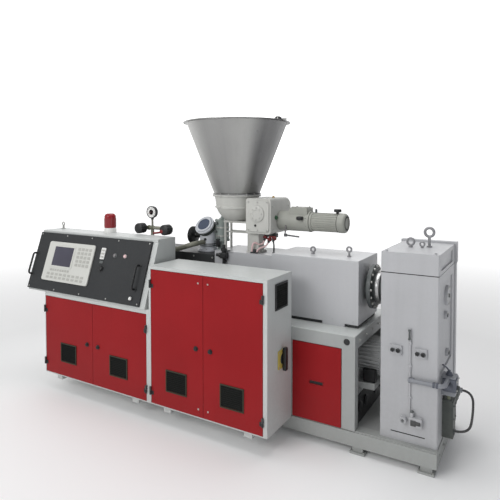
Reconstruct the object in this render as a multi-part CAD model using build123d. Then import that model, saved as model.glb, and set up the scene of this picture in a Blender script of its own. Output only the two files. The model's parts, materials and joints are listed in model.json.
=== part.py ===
from build123d import *
import math
import os

# A conical twin-screw plastic extruder: millimetres, X along the screws towards the gearbox,
# Y from the operator's side to the back, Z up from the floor.
# While it is laid out, X is 0 where the two cabinets meet and Y is 0 at the cabinets' front.

# Heights and the machine's middle plane
SCREW_HEIGHT = 1000
MIDDLE_Y = 698
FOOT_HEIGHT = 47
BEAM_HEIGHT = 100
BEAM_WIDTH = 80
BEAM_REBATE_DEPTH = 8
BEAM_REBATE_HEIGHT = 9
CROSS_BEAM_COUNT = 5
BASE_WIDTH = 722
BASE_LEFT_INSET = 46
BASE_RIGHT = 1896
FOOT_LENGTH = 96
FOOT_WIDTH = 76
FOOT_PLATE_THICKNESS = 14
FOOT_BLOCK_INSET = 14
FOOT_END_INSET = 12
FOOT_PAST_STAND = 15
FLOOR_PLATE_THICKNESS = 6
BRACKET_HEIGHT = 40
BRACKET_WIDTH = 60
BRACKET_INSET = 120

# The stand between the base frame and the drive
STAND_TOP = 750
STAND_RIGHT = 1404
STAND_LEFT = -700
STAND_BEAM = 91
STAND_PLATE_THICKNESS = 6
POST_WIDTH = 88
POST_DEPTH = 60
PANEL_THICKNESS = 16
PANEL_GAP = 3
PANEL_PROUD = 4
FRONT_PANEL_LEFT = 972
GRIP_LENGTH = 93
GRIP_HEIGHT = 22
GRIP_DEPTH = 10

# The drive motor under the drive housing
MOTOR_AXIS_Z = 524
MOTOR_RADIUS = 116
MOTOR_RIB = 14
MOTOR_RIB_ROOT = 2
MOTOR_RIB_THICKNESS = 7
MOTOR_RIB_COUNT = 32
MOTOR_RIB_INSET = 60
MOTOR_LEFT = 780
MOTOR_RIGHT = 1490
MOTOR_SHAFT_RADIUS = 40
MOTOR_FOOT_LENGTH = 60
MOTOR_FOOT_INSET = 40
MOTOR_BED_LEFT = 760
MOTOR_BED_RIGHT = 1390
MOTOR_BED_WIDTH = 320
MOTOR_BED_TOP = 384
MOTOR_BED_THICKNESS = 44
MOTOR_BED_LEG = 60
MOTOR_BED_CLEARANCE = 2

# The gearbox at the right-hand end
GEARBOX_LEFT = 1551
GEARBOX_RIGHT = 1892
GEARBOX_FRONT_REACH = 322
GEARBOX_BACK_REACH = 290
GEARBOX_SEAM = 1167
GEARBOX_COVER_HEIGHT = 128
GEARBOX_EDGE = 6
SEAM_GROOVE = 4
REAR_FLANGE_PROUD = 14
HOUSING_FLANGE_PROUD = 8
REAR_FLANGE_WIDTH = 60
PANE_DEPTH = 10
PANE_FRONT_MARGIN = 64
PANE_BACK_MARGIN = 140
PANE_DROP = 607
PANE_TOP_MARGIN = 57
PANE_EDGE = 20
BEARING_COVER_THICKNESS = 16
BEARING_COVERS = ((-20, 167, 62), (-67, 281, 26), (0, 537, 26))
EYE_FROM_RIGHT = 120
EYE_STEM = 68
EYE_RING = 28
EYE_WIRE = 9
SMALL_EYES = ((224, 22, 7), (152, 14, 5))
EYE_SETBACK = 60
COVER_EYES = ((387, 14), (117, 34))
COVER_EYE_RING = 16
COVER_EYE_WIRE = 7

# The housing over the distribution gear and the coupling
COVER_LEFT = 730
COVER_RIGHT = 1372
COVER_WIDTH = 416
COVER_BOTTOM = 772
COVER_TOP = 1198
COVER_EDGE = 5
COVER_FOOT_LEFT = 1120
COVER_FOOT_RIGHT = 1278
SEAT_INSET = 12
COUPLING_RADIUS = 95
FLANGE_RADIUS = 150
FLANGE_THICKNESS = 26
FLANGE_GAP = 30
GEARBOX_FLANGE_RADIUS = 170

# The feed housing, the barrel and its guard, behind the cabinets
FEED_LEFT = 205
FEED_TOP = 1175
BARREL_END = -680
BARREL_RADIUS_FEED = 115
BARREL_RADIUS_END = 95
BARREL_BORE = 45
GUARD_LEFT = -640
GUARD_WIDTH = 340
GUARD_TOP = 1140
GUARD_CLEARANCE = 6
DIE_FLANGE_RADIUS = 150
DIE_FLANGE_THICKNESS = 40
DIE_BOLT_CIRCLE = 240
DIE_BOLT_RADIUS = 9
DIE_BOLT_COUNT = 8

# The vent and vacuum unit on the barrel
VENT_X = 24
VENT_RADIUS = 70
VENT_TOP = 1328
VENT_BASE_RIM = 18
PORT_Z = 1308
PORT_TILT_DEG = 51
PORT_LENGTH = 74
PORT_ROOT = 40
PORT_RADIUS = 66
PORT_RIM_RADIUS = 83
RIM_THICKNESS = 14
GLASS_RADIUS = 64
GLASS_THICKNESS = 8
FILTER_X = -128
FILTER_RADIUS = 70
FILTER_LENGTH = 24
FILTER_NECK_RADIUS = 20
FILTER_Z = 1258
SEPARATOR_X = 147
SEPARATOR_SETBACK = 22
SEPARATOR_RADIUS = 56
SEPARATOR_RIM = 61
SEPARATOR_BOTTOM = 1225
SEPARATOR_TOP = 1400
SEPARATOR_LINK_Z = 1300
SEPARATOR_LINK_RADIUS = 22
SEPARATOR_FOOT_RADIUS = 40
VACUUM_PIPE_RADIUS = 20
VACUUM_PIPE_Z = 1215
VACUUM_PIPE_FALL = 50
VACUUM_PIPE_Y = 490
VACUUM_PIPE_TURN_X = -130
VACUUM_PIPE_BEND = 40
MANIFOLD_X = -354
MANIFOLD_Y = 440
MANIFOLD_Z = 1329
MANIFOLD_SHIFT = 70
PIPE_RADIUS = 14
GAUGE_STEM_RADIUS = 8
WHEEL_RADIUS = 42
WHEEL_THICKNESS = 72
WHEEL_STANDOFF = 18
WHEEL_STEM_RADIUS = 10
WHEEL_SPREAD = 267
GAUGE_Z = 1457
GAUGE_RADIUS = 50
GAUGE_THICKNESS = 34
GAUGE_SOCKET = 10
GAUGE_SOCKET_RADIUS = 12

# The hopper and the feeder
HOPPER_X = 302
HOPPER_RIM_Z = 2172
HOPPER_RIM_RADIUS = 398
HOPPER_NECK_Z = 1604
HOPPER_NECK_RADIUS = 176
HOPPER_WALL = 4
HOPPER_LIP = 24
HOPPER_LIP_THICKNESS = 6
HOPPER_FLANGE = 16
HOPPER_FLANGE_THICKNESS = 8
LATCH_BLOCK_LENGTH = 50
LATCH_BLOCK_WIDTH = 28
LATCH_BLOCK_HEIGHT = 30
LATCH_LEVER_LENGTH = 54
LATCH_LEVER_WIDTH = 18
LATCH_LEVER_HEIGHT = 12
LATCH_OVERLAP = 10
BOWL_BOTTOM_Z = 1400
BOWL_BOTTOM_RADIUS = 74
BOWL_WAIST_Z = 1505
BOWL_WAIST_RADIUS = 162
BOWL_BULGE_Z = 1440
BOWL_BULGE_RADIUS = 126
BOWL_FLOOR = 30
BOWL_INSIDE_RADIUS = 60
FEEDER_LEFT = 484
FEEDER_RIGHT = 695
FEEDER_FRONT = 535
FEEDER_BACK = 862
FEEDER_BOTTOM = 1325
FEEDER_TOP = 1588
FEEDER_CORNER = 22
FEEDER_CHAMFER = 46
FRAME_SLAB = 14
FRAME_LEFT_INSET = 80
FRAME_WIDTH = 140
FRAME_LEG = 14
FRAME_LEG_SPREAD = 100
FRAME_LEG_LEFT_INSET = 88
FRAME_LEG_RIGHT_INSET = 54
FRAME_ROD_Z = 1312
FRAME_ROD_RADIUS = 6
CHUTE_X = 526
CHUTE_Y = 624
CHUTE_WIDTH = 84
CHUTE_WALL = 6
CHUTE_FLANGE = 14
CHUTE_FLANGE_THICKNESS = 12
FEED_MOTOR_Z = 1420
FEED_MOTOR_RADIUS = 70
FEED_MOTOR_END = 1218
REDUCER_RADIUS = 74
REDUCER_RIGHT = 950
REDUCER_CASE_INSET = 17
REDUCER_CASE_LENGTH = 140
REDUCER_CASE_WIDTH = 110
REDUCER_CASE_HEIGHT = 100

# The cabinets and their doors
CABINET_DEPTH = 335
CABINET_BOTTOM = 130
CABINET_SHEET = 4
CABINET_FRAME = 18
CABINET_SILL = 8
LOW_WIDTH = 1136
LOW_TOP = 800
LOW_DOOR_TOP = 768
LOW_JAMB_LEFT = 6
LOW_JAMB_RIGHT = 24
TALL_WIDTH = 962
TALL_TOP = 1118
TALL_DOOR_TOP = 1096
TALL_JAMB_LEFT = 18
TALL_JAMB_RIGHT = 30
DOOR_THICKNESS = 20
DOOR_SHEET = 3
DOOR_GAP = 3
GRILLE_WIDTH = 184
GRILLE_HEIGHT = 156
GRILLE_Z = 328
GRILLE_PROUD = 6
GRILLE_EDGE = 8
LATCH_FROM_SEAM = 57
LATCH_RADIUS = 13
LATCH_LENGTH = 16
LOW_LATCH_Z = 441
TALL_LATCH_Z = 598
LOW_HINGE_HEIGHTS = (227, 661)
TALL_HINGE_HEIGHTS = (228, 993)
HINGE_RADIUS = 7
HINGE_PIN_RADIUS = 3
HINGE_LENGTH = 56
HINGE_CLEARANCE = 0.3
HINGE_LEAF = 3
HINGE_LEAF_WIDTH = 22
HINGE_FRAME_WIDTH = 6
HINGE_STANDOFF = 9

# The operator's console on the low cabinet
CONSOLE_LEFT = -1335
CONSOLE_RIGHT = -30
CONSOLE_TOP = 1281
CONSOLE_LEAN = 143
CONSOLE_LIP = 18
PANEL_RIGHT = -78
PANEL_SLAB = 16
PANEL_LOW_MARGIN = 12
PANEL_FOOT_PROUD = 10
SCREEN_CASE_WIDTH = 540
SCREEN_CASE_HEIGHT = 322
SCREEN_CASE_THICKNESS = 16
SCREEN_CASE_X = -906
SCREEN_CASE_LOW = 82
HANDLE_RADIUS = 8
HANDLE_BEND = 16
HANDLE_LENGTH = 190
HANDLE_STANDOFF = 42
HANDLE_LOW = 108
LEFT_HANDLE_X = -1311
RIGHT_HANDLE_X = -142
BUTTON_RADIUS = 15
BUTTON_PROUD = 14
BUTTON_PLACES = ((-529, 233), (-415, 344), (-307, 346), (-164, 48))
BEACON_X = -680
BEACON_Y = 290
BEACON_RADIUS = 50
BEACON_DOME_INSET = 3
BEACON_BASE_HEIGHT = 45
BEACON_DOME_HEIGHT = 118
BEACON_DOME_ROUNDING = 28

# Fittings on the tall cabinet's right side
WINDOW_Y = 184
WINDOW_FROM_TOP = 130
WINDOW_SIZE = 170
WINDOW_THICKNESS = 8
SWITCH_Y = 196
SWITCH_Z = 575
SWITCH_PLATE = 120
SWITCH_PLATE_THICKNESS = 8
SWITCH_SHAFT_RADIUS = 9
SWITCH_GAP = 5
SWITCH_HANDLE_LENGTH = 150
SWITCH_HANDLE_WIDTH = 38
SWITCH_HANDLE_THICKNESS = 24

# Oil fittings on the gearbox's front: distances from its left side, heights above the floor
SIGHT_PLACES = (97, 243)
SIGHT_Z = 705
SIGHT_WIDTH = 72
SIGHT_HEIGHT = 56
SIGHT_PROUD = 14
SIGHT_PLUG_SPACING = 34
SIGHT_PLUG_RADIUS = 13
SIGHT_PLUG_PROUD = 24
LEVEL_PLACE = 179
LEVEL_Z = 812
LEVEL_WIDTH = 16
LEVEL_HEIGHT = 64
PLUG_PLACE = 146
PLUG_Z = 288
PLUG_RADIUS = 22
PLUG_PROUD = 26
DRAIN_PLACE = 222
DRAIN_Z = 292
DRAIN_WIDTH = 70
DRAIN_HEIGHT = 54
DRAIN_PROUD = 34
DRAIN_STEM_SHIFT = 24
DRAIN_STEM_RADIUS = 10
DRAIN_STEM_HEIGHT = 30
OIL_PIPE_PLACE = 184
OIL_PIPE_RADIUS = 13
OIL_PIPE_Z = 538
OIL_PIPE_STANDOFF = 8
OIL_PIPE_BEND = 34
OIL_PIPE_REACH = 38

# Oil valve, hose and pump on the gearbox's right side
VALVE_Y = 470
VALVE_WIDTH = 90
VALVE_DEPTH = 80
VALVE_BOTTOM = 445
VALVE_HEIGHT = 110
VALVE_OUTLET_Z = 478
VALVE_OUTLET_RADIUS = 14
VALVE_REACH = 114
PUMP_RADIUS = 32
PUMP_LENGTH = 240
PUMP_Z = 350
PUMP_GAP = 2
PUMP_FRONT = 568
PUMP_BLOCK_DEPTH = 64
PUMP_BLOCK_WIDTH = 90
PUMP_BLOCK_HEIGHT = 220
PUMP_BLOCK_FRONT = 518
PUMP_BLOCK_BOTTOM = 165
PUMP_RAIL_DEPTH = 40
PUMP_RAIL_LENGTH = 210
PUMP_RAIL_FRONT = 578
PUMP_RAIL_BOTTOM = 160
PUMP_RAIL_HEIGHT = 250
HOSE_RADIUS = 7
HOSE_BEND = 56
HOSE_LOOP = 58
HOSE_BULGE = 60
HOSE_BULGE_Z = 345
HOSE_SHIFT = 12
HOSE_END_SHIFT = 30
HOSE_END_Z = 205
HOSE_LOW_REACH = 36

# Levels and planes that follow from the sizes above
BEAM_TOP = FOOT_HEIGHT + BEAM_HEIGHT
BASE_FRONT = MIDDLE_Y - BASE_WIDTH / 2
BASE_BACK = MIDDLE_Y + BASE_WIDTH / 2
GEARBOX_FRONT = MIDDLE_Y - GEARBOX_FRONT_REACH
GEARBOX_BACK = MIDDLE_Y + GEARBOX_BACK_REACH
GEARBOX_TOP = GEARBOX_SEAM + GEARBOX_COVER_HEIGHT
LOW_LEFT = -LOW_WIDTH
BASE_LEFT = LOW_LEFT + BASE_LEFT_INSET
LOW_SEAM = (LOW_LEFT + LOW_JAMB_LEFT - LOW_JAMB_RIGHT) / 2
TALL_SEAM = (TALL_JAMB_LEFT + TALL_WIDTH - TALL_JAMB_RIGHT) / 2
DOOR_BOTTOM = CABINET_BOTTOM + CABINET_SILL
HINGE_Y = -HINGE_STANDOFF

pieces = {}


def block(x0, x1, y0, y1, z0, z1):
    """A box between two corners."""
    centre = Pos((x0 + x1) / 2, (y0 + y1) / 2, (z0 + z1) / 2)
    return centre * Box(abs(x1 - x0), abs(y1 - y0), abs(z1 - z0))


def rod_x(x0, x1, y, z, radius):
    """A round bar along X."""
    return Pos((x0 + x1) / 2, y, z) * Rot(0, 90, 0) * Cylinder(radius, abs(x1 - x0))


def rod_y(x, y0, y1, z, radius):
    """A round bar along Y."""
    return Pos(x, (y0 + y1) / 2, z) * Rot(90, 0, 0) * Cylinder(radius, abs(y1 - y0))


def rod_z(x, y, z0, z1, radius):
    """A round bar along Z."""
    return Pos(x, y, (z0 + z1) / 2) * Cylinder(radius, abs(z1 - z0))


def cone_z(x, y, z0, r0, z1, r1):
    """A cone frustum from radius r0 at z0 to radius r1 at z1."""
    return Pos(x, y, (z0 + z1) / 2) * Cone(r0, r1, z1 - z0)


def cone_x(x0, r0, x1, r1, y, z):
    """A cone frustum along X from radius r0 at x0 to radius r1 at x1."""
    return Pos((x0 + x1) / 2, y, z) * Rot(0, 90, 0) * Cone(r0, r1, x1 - x0)


def pipe(points, radius, bend):
    """A round pipe along straight runs joined by arcs."""
    path = FilletPolyline(*points, radius=bend)
    start = Plane(origin=path @ 0, z_dir=path % 0)
    return sweep(start * Circle(radius), path=path)


def keep(name, shape):
    """Store a finished piece under its name."""
    pieces[name] = shape


def joined(shapes):
    """One shape from several that touch or overlap."""
    whole = shapes[0]
    for shape in shapes[1:]:
        whole += shape
    return whole


def make_base():
    """The base frame of beams, its floor plate, its feet and the brackets that carry the cabinets."""
    fronts = (BASE_FRONT, BASE_BACK - BEAM_WIDTH)
    beams = [block(BASE_LEFT, BASE_RIGHT, y, y + BEAM_WIDTH, FOOT_HEIGHT, BEAM_TOP) for y in fronts]
    for x in cross_beam_places():
        beams.append(block(x, x + BEAM_WIDTH, BASE_FRONT, BASE_BACK, FOOT_HEIGHT, BEAM_TOP))
    frame = joined(beams)
    for y in (BASE_FRONT, BASE_BACK - BEAM_REBATE_DEPTH):
        frame -= block(BASE_LEFT, BASE_RIGHT, y, y + BEAM_REBATE_DEPTH,
                       BEAM_TOP - BEAM_REBATE_HEIGHT, BEAM_TOP)
    keep("base_frame", frame)
    places = cross_beam_places()
    keep("floor_plate", block(places[-2] + BEAM_WIDTH, places[-1], BASE_FRONT + BEAM_WIDTH,
                              BASE_BACK - BEAM_WIDTH, BEAM_TOP - FLOOR_PLATE_THICKNESS, BEAM_TOP))
    brackets = [block(x, x + BRACKET_WIDTH, CABINET_FRAME, BASE_FRONT,
                      CABINET_BOTTOM - BRACKET_HEIGHT, CABINET_BOTTOM) for x in bracket_places()]
    keep("cabinet_brackets", Compound(brackets))
    half = FOOT_WIDTH / 2
    keep("levelling_feet", Compound([foot(x, y) for x in foot_places()
                                     for y in (BASE_FRONT + half, BASE_BACK - half)]))


def foot(x, y):
    """A levelling foot: a plate under a block."""
    length, width = FOOT_LENGTH / 2, FOOT_WIDTH / 2
    plate = block(x - length, x + length, y - width, y + width, 0, FOOT_PLATE_THICKNESS)
    length, width = length - FOOT_BLOCK_INSET, width - FOOT_BLOCK_INSET
    return plate + block(x - length, x + length, y - width, y + width, 0, FOOT_HEIGHT)


def cross_beam_places():
    """Where each cross beam starts, evenly from end to end."""
    step = (BASE_RIGHT - BEAM_WIDTH - BASE_LEFT) / (CROSS_BEAM_COUNT - 1)
    return [BASE_LEFT + step * i for i in range(CROSS_BEAM_COUNT)]


def bracket_places():
    """Where each cabinet bracket starts: two under each cabinet."""
    near, far = BRACKET_INSET, BRACKET_INSET + BRACKET_WIDTH
    return [LOW_LEFT + near, -far, near, TALL_WIDTH - far]


def foot_places():
    """The middle of each pair of feet."""
    first, last = BASE_LEFT + FOOT_LENGTH, BASE_RIGHT - FOOT_LENGTH / 2 - FOOT_END_INSET
    return [first, first + (last - first) / 3, STAND_RIGHT + FOOT_PAST_STAND, last]


def make_stand():
    """The stand of posts and top beams, with its top plate and access panels."""
    under, over = STAND_TOP - STAND_BEAM, STAND_TOP - STAND_PLATE_THICKNESS
    sides = (BASE_FRONT, BASE_BACK - POST_DEPTH)
    bars = [block(STAND_LEFT, STAND_RIGHT, y, y + POST_DEPTH, under, over) for y in sides]
    for x0, x1 in post_places():
        bars.append(block(x0, x1, BASE_FRONT, BASE_BACK, under, over))
        bars += [block(x0, x1, y, y + POST_DEPTH, BEAM_TOP, under) for y in sides]
    keep("machine_stand", joined(bars))
    keep("stand_plate", block(STAND_LEFT, STAND_RIGHT, BASE_FRONT, BASE_BACK, over, STAND_TOP))
    z0, z1 = BEAM_TOP, under - PANEL_GAP
    keep("front_access_panel", access_panel(FRONT_PANEL_LEFT, STAND_RIGHT - POST_WIDTH - PANEL_GAP, z0, z1))
    rear = []
    for (_, x0), (x1, _) in zip(post_places(), post_places()[1:]):
        panel = access_panel(x0 + PANEL_GAP, x1 - PANEL_GAP, z0, z1)
        rear.append(mirror(panel, Plane.XZ.offset(-MIDDLE_Y)))
    keep("rear_access_panels", Compound(rear))


def post_places():
    """Each post's two sides along X."""
    bay = FRONT_PANEL_LEFT - PANEL_GAP - POST_WIDTH
    starts = (STAND_LEFT, (STAND_LEFT + bay) / 2, bay, STAND_RIGHT - POST_WIDTH)
    return [(x, x + POST_WIDTH) for x in starts]


def access_panel(x0, x1, z0, z1):
    """A lift-off panel on the front plane, with a recessed grip."""
    y0 = BASE_FRONT - PANEL_PROUD
    panel = block(x0, x1, y0, y0 + PANEL_THICKNESS, z0, z1)
    x, z = (x0 + x1) / 2, (z0 + z1) / 2
    return panel - block(x - GRIP_LENGTH / 2, x + GRIP_LENGTH / 2, y0, y0 + GRIP_DEPTH,
                         z - GRIP_HEIGHT / 2, z + GRIP_HEIGHT / 2)


def make_drive_motor():
    """The ribbed drive motor on its bed, and its shaft into the gearbox."""
    motor = rod_x(MOTOR_LEFT, MOTOR_RIGHT, MIDDLE_Y, MOTOR_AXIS_Z, MOTOR_RADIUS)
    rib = block(MOTOR_LEFT + MOTOR_RIB_INSET, MOTOR_RIGHT - MOTOR_RIB_INSET, -MOTOR_RIB_THICKNESS / 2,
                MOTOR_RIB_THICKNESS / 2, MOTOR_RADIUS - MOTOR_RIB_ROOT, MOTOR_RADIUS + MOTOR_RIB)
    for i in range(MOTOR_RIB_COUNT):
        motor += Pos(0, MIDDLE_Y, MOTOR_AXIS_Z) * Rot(360 * i / MOTOR_RIB_COUNT, 0, 0) * rib
    motor += rod_x(MOTOR_RIGHT, GEARBOX_LEFT, MIDDLE_Y, MOTOR_AXIS_Z, MOTOR_SHAFT_RADIUS)
    for x in (MOTOR_BED_LEFT + MOTOR_FOOT_INSET, MOTOR_BED_RIGHT - MOTOR_FOOT_INSET - MOTOR_FOOT_LENGTH):
        motor += block(x, x + MOTOR_FOOT_LENGTH, MIDDLE_Y - MOTOR_RADIUS, MIDDLE_Y + MOTOR_RADIUS,
                       MOTOR_BED_TOP, MOTOR_AXIS_Z - MOTOR_RADIUS / 2)
    keep("drive_motor", motor)
    half, under = MOTOR_BED_WIDTH / 2, MOTOR_BED_TOP - MOTOR_BED_THICKNESS
    bed = block(MOTOR_BED_LEFT, MOTOR_BED_RIGHT, MIDDLE_Y - half, MIDDLE_Y + half, under, MOTOR_BED_TOP)
    reach = POST_DEPTH + MOTOR_BED_CLEARANCE
    for x in (MOTOR_BED_LEFT, MOTOR_BED_RIGHT - MOTOR_BED_LEG):
        bed += block(x, x + MOTOR_BED_LEG, BASE_FRONT + reach, BASE_BACK - reach, BEAM_TOP, under)
    keep("motor_bed", bed)


def make_gearbox():
    """The gearbox housing, its top cover and the bearing covers on its right side."""
    housing = block(GEARBOX_LEFT, GEARBOX_RIGHT, GEARBOX_FRONT, GEARBOX_BACK, BEAM_TOP, GEARBOX_SEAM)
    housing = chamfer(housing.edges().filter_by(Axis.Z), GEARBOX_EDGE)
    housing += block(GEARBOX_LEFT - HOUSING_FLANGE_PROUD, GEARBOX_RIGHT + HOUSING_FLANGE_PROUD,
                     GEARBOX_BACK - REAR_FLANGE_WIDTH, GEARBOX_BACK, BEAM_TOP, GEARBOX_SEAM)
    pane_front, pane_back = GEARBOX_FRONT + PANE_FRONT_MARGIN, GEARBOX_BACK - PANE_BACK_MARGIN
    keep("gearbox_housing", housing - block(GEARBOX_RIGHT - PANE_DEPTH, GEARBOX_RIGHT, pane_front, pane_back,
                                            GEARBOX_SEAM - PANE_DROP, GEARBOX_SEAM - PANE_TOP_MARGIN))
    low = GEARBOX_SEAM + SEAM_GROOVE
    cover = block(GEARBOX_LEFT, GEARBOX_RIGHT, GEARBOX_FRONT, GEARBOX_BACK, low, GEARBOX_TOP)
    cover = chamfer(cover.edges().filter_by(Axis.Z), GEARBOX_EDGE)
    cover += block(GEARBOX_LEFT + SEAM_GROOVE, GEARBOX_RIGHT - SEAM_GROOVE, GEARBOX_FRONT + SEAM_GROOVE,
                   GEARBOX_BACK - SEAM_GROOVE, GEARBOX_SEAM, low)
    cover += block(GEARBOX_LEFT - REAR_FLANGE_PROUD, GEARBOX_RIGHT + REAR_FLANGE_PROUD,
                   GEARBOX_BACK - REAR_FLANGE_WIDTH, GEARBOX_BACK, low, GEARBOX_TOP + REAR_FLANGE_PROUD)
    corners = Polyline((pane_front, low + PANE_EDGE), (pane_front, low + 2 * PANE_EDGE),
                       (pane_back, GEARBOX_TOP - PANE_EDGE), (pane_back, low + PANE_EDGE), close=True)
    pane = extrude(make_face(Plane.YZ * corners), PANE_DEPTH, dir=(1, 0, 0))
    keep("gearbox_cover", cover - Pos(GEARBOX_RIGHT - PANE_DEPTH, 0, 0) * pane)
    x = GEARBOX_RIGHT - PANE_DEPTH
    keep("bearing_covers", Compound([rod_x(x, x + BEARING_COVER_THICKNESS, MIDDLE_Y + along,
                                           GEARBOX_SEAM - drop, radius)
                                     for along, drop, radius in BEARING_COVERS]))


def lifting_eye(x, y, z, stem, ring, wire):
    """An eyebolt on a flat top: a collar, a stem and a ring."""
    eye = Pos(x, y, z + stem + ring) * Rot(90, 0, 0) * Torus(ring, wire)
    return rod_z(x, y, z, z + stem, wire) + rod_z(x, y, z, z + wire, 2 * wire) + eye


def make_lifting_eyes():
    """A tall eyebolt and small ones on the gearbox, and two on the drive cover."""
    eyes = [lifting_eye(GEARBOX_RIGHT - EYE_FROM_RIGHT, MIDDLE_Y, GEARBOX_TOP, EYE_STEM, EYE_RING, EYE_WIRE)]
    for reach, ring, wire in SMALL_EYES:
        eyes.append(lifting_eye(GEARBOX_RIGHT - reach, MIDDLE_Y - EYE_SETBACK, GEARBOX_TOP, 2 * wire,
                                ring, wire))
    for reach, stem in COVER_EYES:
        eyes.append(lifting_eye(COVER_RIGHT - reach, MIDDLE_Y - EYE_SETBACK, COVER_TOP, stem,
                                COVER_EYE_RING, COVER_EYE_WIRE))
    keep("lifting_eyes", Compound(eyes))


def on_gearbox_front(place, z, width, height, proud):
    """A box on the gearbox's front, by its middle."""
    x = GEARBOX_LEFT + place
    return block(x - width / 2, x + width / 2, GEARBOX_FRONT - proud, GEARBOX_FRONT,
                 z - height / 2, z + height / 2)


def make_oil_fittings():
    """The oil sights, plugs and drain on the gearbox's front, and the pipework, valve, pump and hose."""
    fittings = []
    for place in SIGHT_PLACES:
        sight = on_gearbox_front(place, SIGHT_Z, SIGHT_WIDTH, SIGHT_HEIGHT, SIGHT_PROUD)
        for side in (-1, 1):
            x = GEARBOX_LEFT + place + side * SIGHT_PLUG_SPACING / 2
            sight += rod_y(x, GEARBOX_FRONT - SIGHT_PLUG_PROUD, GEARBOX_FRONT, SIGHT_Z, SIGHT_PLUG_RADIUS)
        fittings.append(sight)
    fittings.append(on_gearbox_front(LEVEL_PLACE, LEVEL_Z, LEVEL_WIDTH, LEVEL_HEIGHT, SIGHT_PROUD))
    fittings.append(rod_y(GEARBOX_LEFT + PLUG_PLACE, GEARBOX_FRONT - PLUG_PROUD, GEARBOX_FRONT,
                          PLUG_Z, PLUG_RADIUS))
    drain = on_gearbox_front(DRAIN_PLACE, DRAIN_Z, DRAIN_WIDTH, DRAIN_HEIGHT, DRAIN_PROUD)
    drain_top = DRAIN_Z + DRAIN_HEIGHT / 2
    drain += rod_z(GEARBOX_LEFT + DRAIN_PLACE - DRAIN_STEM_SHIFT, GEARBOX_FRONT - DRAIN_PROUD / 2,
                   drain_top, drain_top + DRAIN_STEM_HEIGHT, DRAIN_STEM_RADIUS)
    keep("oil_gauges", Compound(fittings + [drain]))
    y = GEARBOX_FRONT - OIL_PIPE_RADIUS - OIL_PIPE_STANDOFF
    start, corner = GEARBOX_LEFT + OIL_PIPE_PLACE, GEARBOX_RIGHT + OIL_PIPE_REACH
    route = [(start, y, OIL_PIPE_Z), (corner, y, OIL_PIPE_Z), (corner, VALVE_Y + OIL_PIPE_RADIUS, OIL_PIPE_Z)]
    work = pipe(route, OIL_PIPE_RADIUS, OIL_PIPE_BEND)
    work += rod_y(start + OIL_PIPE_RADIUS, y, GEARBOX_FRONT, OIL_PIPE_Z, OIL_PIPE_RADIUS)
    work += block(GEARBOX_RIGHT, GEARBOX_RIGHT + VALVE_DEPTH, VALVE_Y, VALVE_Y + VALVE_WIDTH,
                  VALVE_BOTTOM, VALVE_BOTTOM + VALVE_HEIGHT)
    outlet_y = VALVE_Y + VALVE_WIDTH / 2
    work += rod_x(GEARBOX_RIGHT + VALVE_DEPTH, GEARBOX_RIGHT + VALVE_REACH, outlet_y, VALVE_OUTLET_Z,
                  VALVE_OUTLET_RADIUS)
    keep("oil_pipework", work)
    keep("oil_pump_unit", oil_pump())
    start, end_x = GEARBOX_RIGHT + VALVE_REACH, GEARBOX_RIGHT + PUMP_BLOCK_DEPTH
    end_y = outlet_y + HOSE_END_SHIFT
    points = [(start, outlet_y, VALVE_OUTLET_Z), (start + HOSE_LOOP, outlet_y, VALVE_OUTLET_Z),
              (start + HOSE_BULGE, outlet_y + HOSE_SHIFT, HOSE_BULGE_Z),
              (start + HOSE_LOW_REACH, end_y, HOSE_END_Z), (end_x, end_y, HOSE_END_Z)]
    keep("oil_hose", pipe(points, HOSE_RADIUS, HOSE_BEND))


def oil_pump():
    """The oil pump: a round body between a block that takes the hose and a rail on the gearbox."""
    side = GEARBOX_RIGHT
    pump = rod_y(side + PUMP_RADIUS + PUMP_GAP, PUMP_FRONT, PUMP_FRONT + PUMP_LENGTH, PUMP_Z, PUMP_RADIUS)
    pump += block(side, side + PUMP_BLOCK_DEPTH, PUMP_BLOCK_FRONT, PUMP_BLOCK_FRONT + PUMP_BLOCK_WIDTH,
                  PUMP_BLOCK_BOTTOM, PUMP_BLOCK_BOTTOM + PUMP_BLOCK_HEIGHT)
    return pump + block(side, side + PUMP_RAIL_DEPTH, PUMP_RAIL_FRONT, PUMP_RAIL_FRONT + PUMP_RAIL_LENGTH,
                        PUMP_RAIL_BOTTOM, PUMP_RAIL_BOTTOM + PUMP_RAIL_HEIGHT)


def make_drive_cover():
    """The housing over the distribution gear, its seat, and the coupling to the gearbox."""
    y0, y1 = MIDDLE_Y - COVER_WIDTH / 2, MIDDLE_Y + COVER_WIDTH / 2
    cover = block(COVER_LEFT, COVER_RIGHT, y0, y1, COVER_BOTTOM, COVER_TOP)
    cover = fillet(cover.edges().filter_by(Axis.X).group_by(Axis.Z)[-1], COVER_EDGE)
    keep("drive_cover", cover + block(COVER_FOOT_LEFT, COVER_FOOT_RIGHT, y0, y1, STAND_TOP, COVER_BOTTOM))
    seats = [block(x0, x1, y0 + SEAT_INSET, y1 - SEAT_INSET, STAND_TOP, COVER_BOTTOM)
             for x0, x1 in ((COVER_LEFT + SEAT_INSET, COVER_FOOT_LEFT - SEAT_INSET),
                            (COVER_FOOT_RIGHT + SEAT_INSET, COVER_RIGHT - SEAT_INSET))]
    keep("cover_seat", Compound(seats))
    neck = rod_x(COVER_RIGHT, GEARBOX_LEFT, MIDDLE_Y, SCREW_HEIGHT, COUPLING_RADIUS)
    first = COVER_RIGHT + FLANGE_GAP
    neck += rod_x(first, first + FLANGE_THICKNESS, MIDDLE_Y, SCREW_HEIGHT, FLANGE_RADIUS)
    neck += rod_x(GEARBOX_LEFT - FLANGE_THICKNESS, GEARBOX_LEFT, MIDDLE_Y, SCREW_HEIGHT,
                  GEARBOX_FLANGE_RADIUS)
    keep("coupling_housing", neck)


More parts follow.
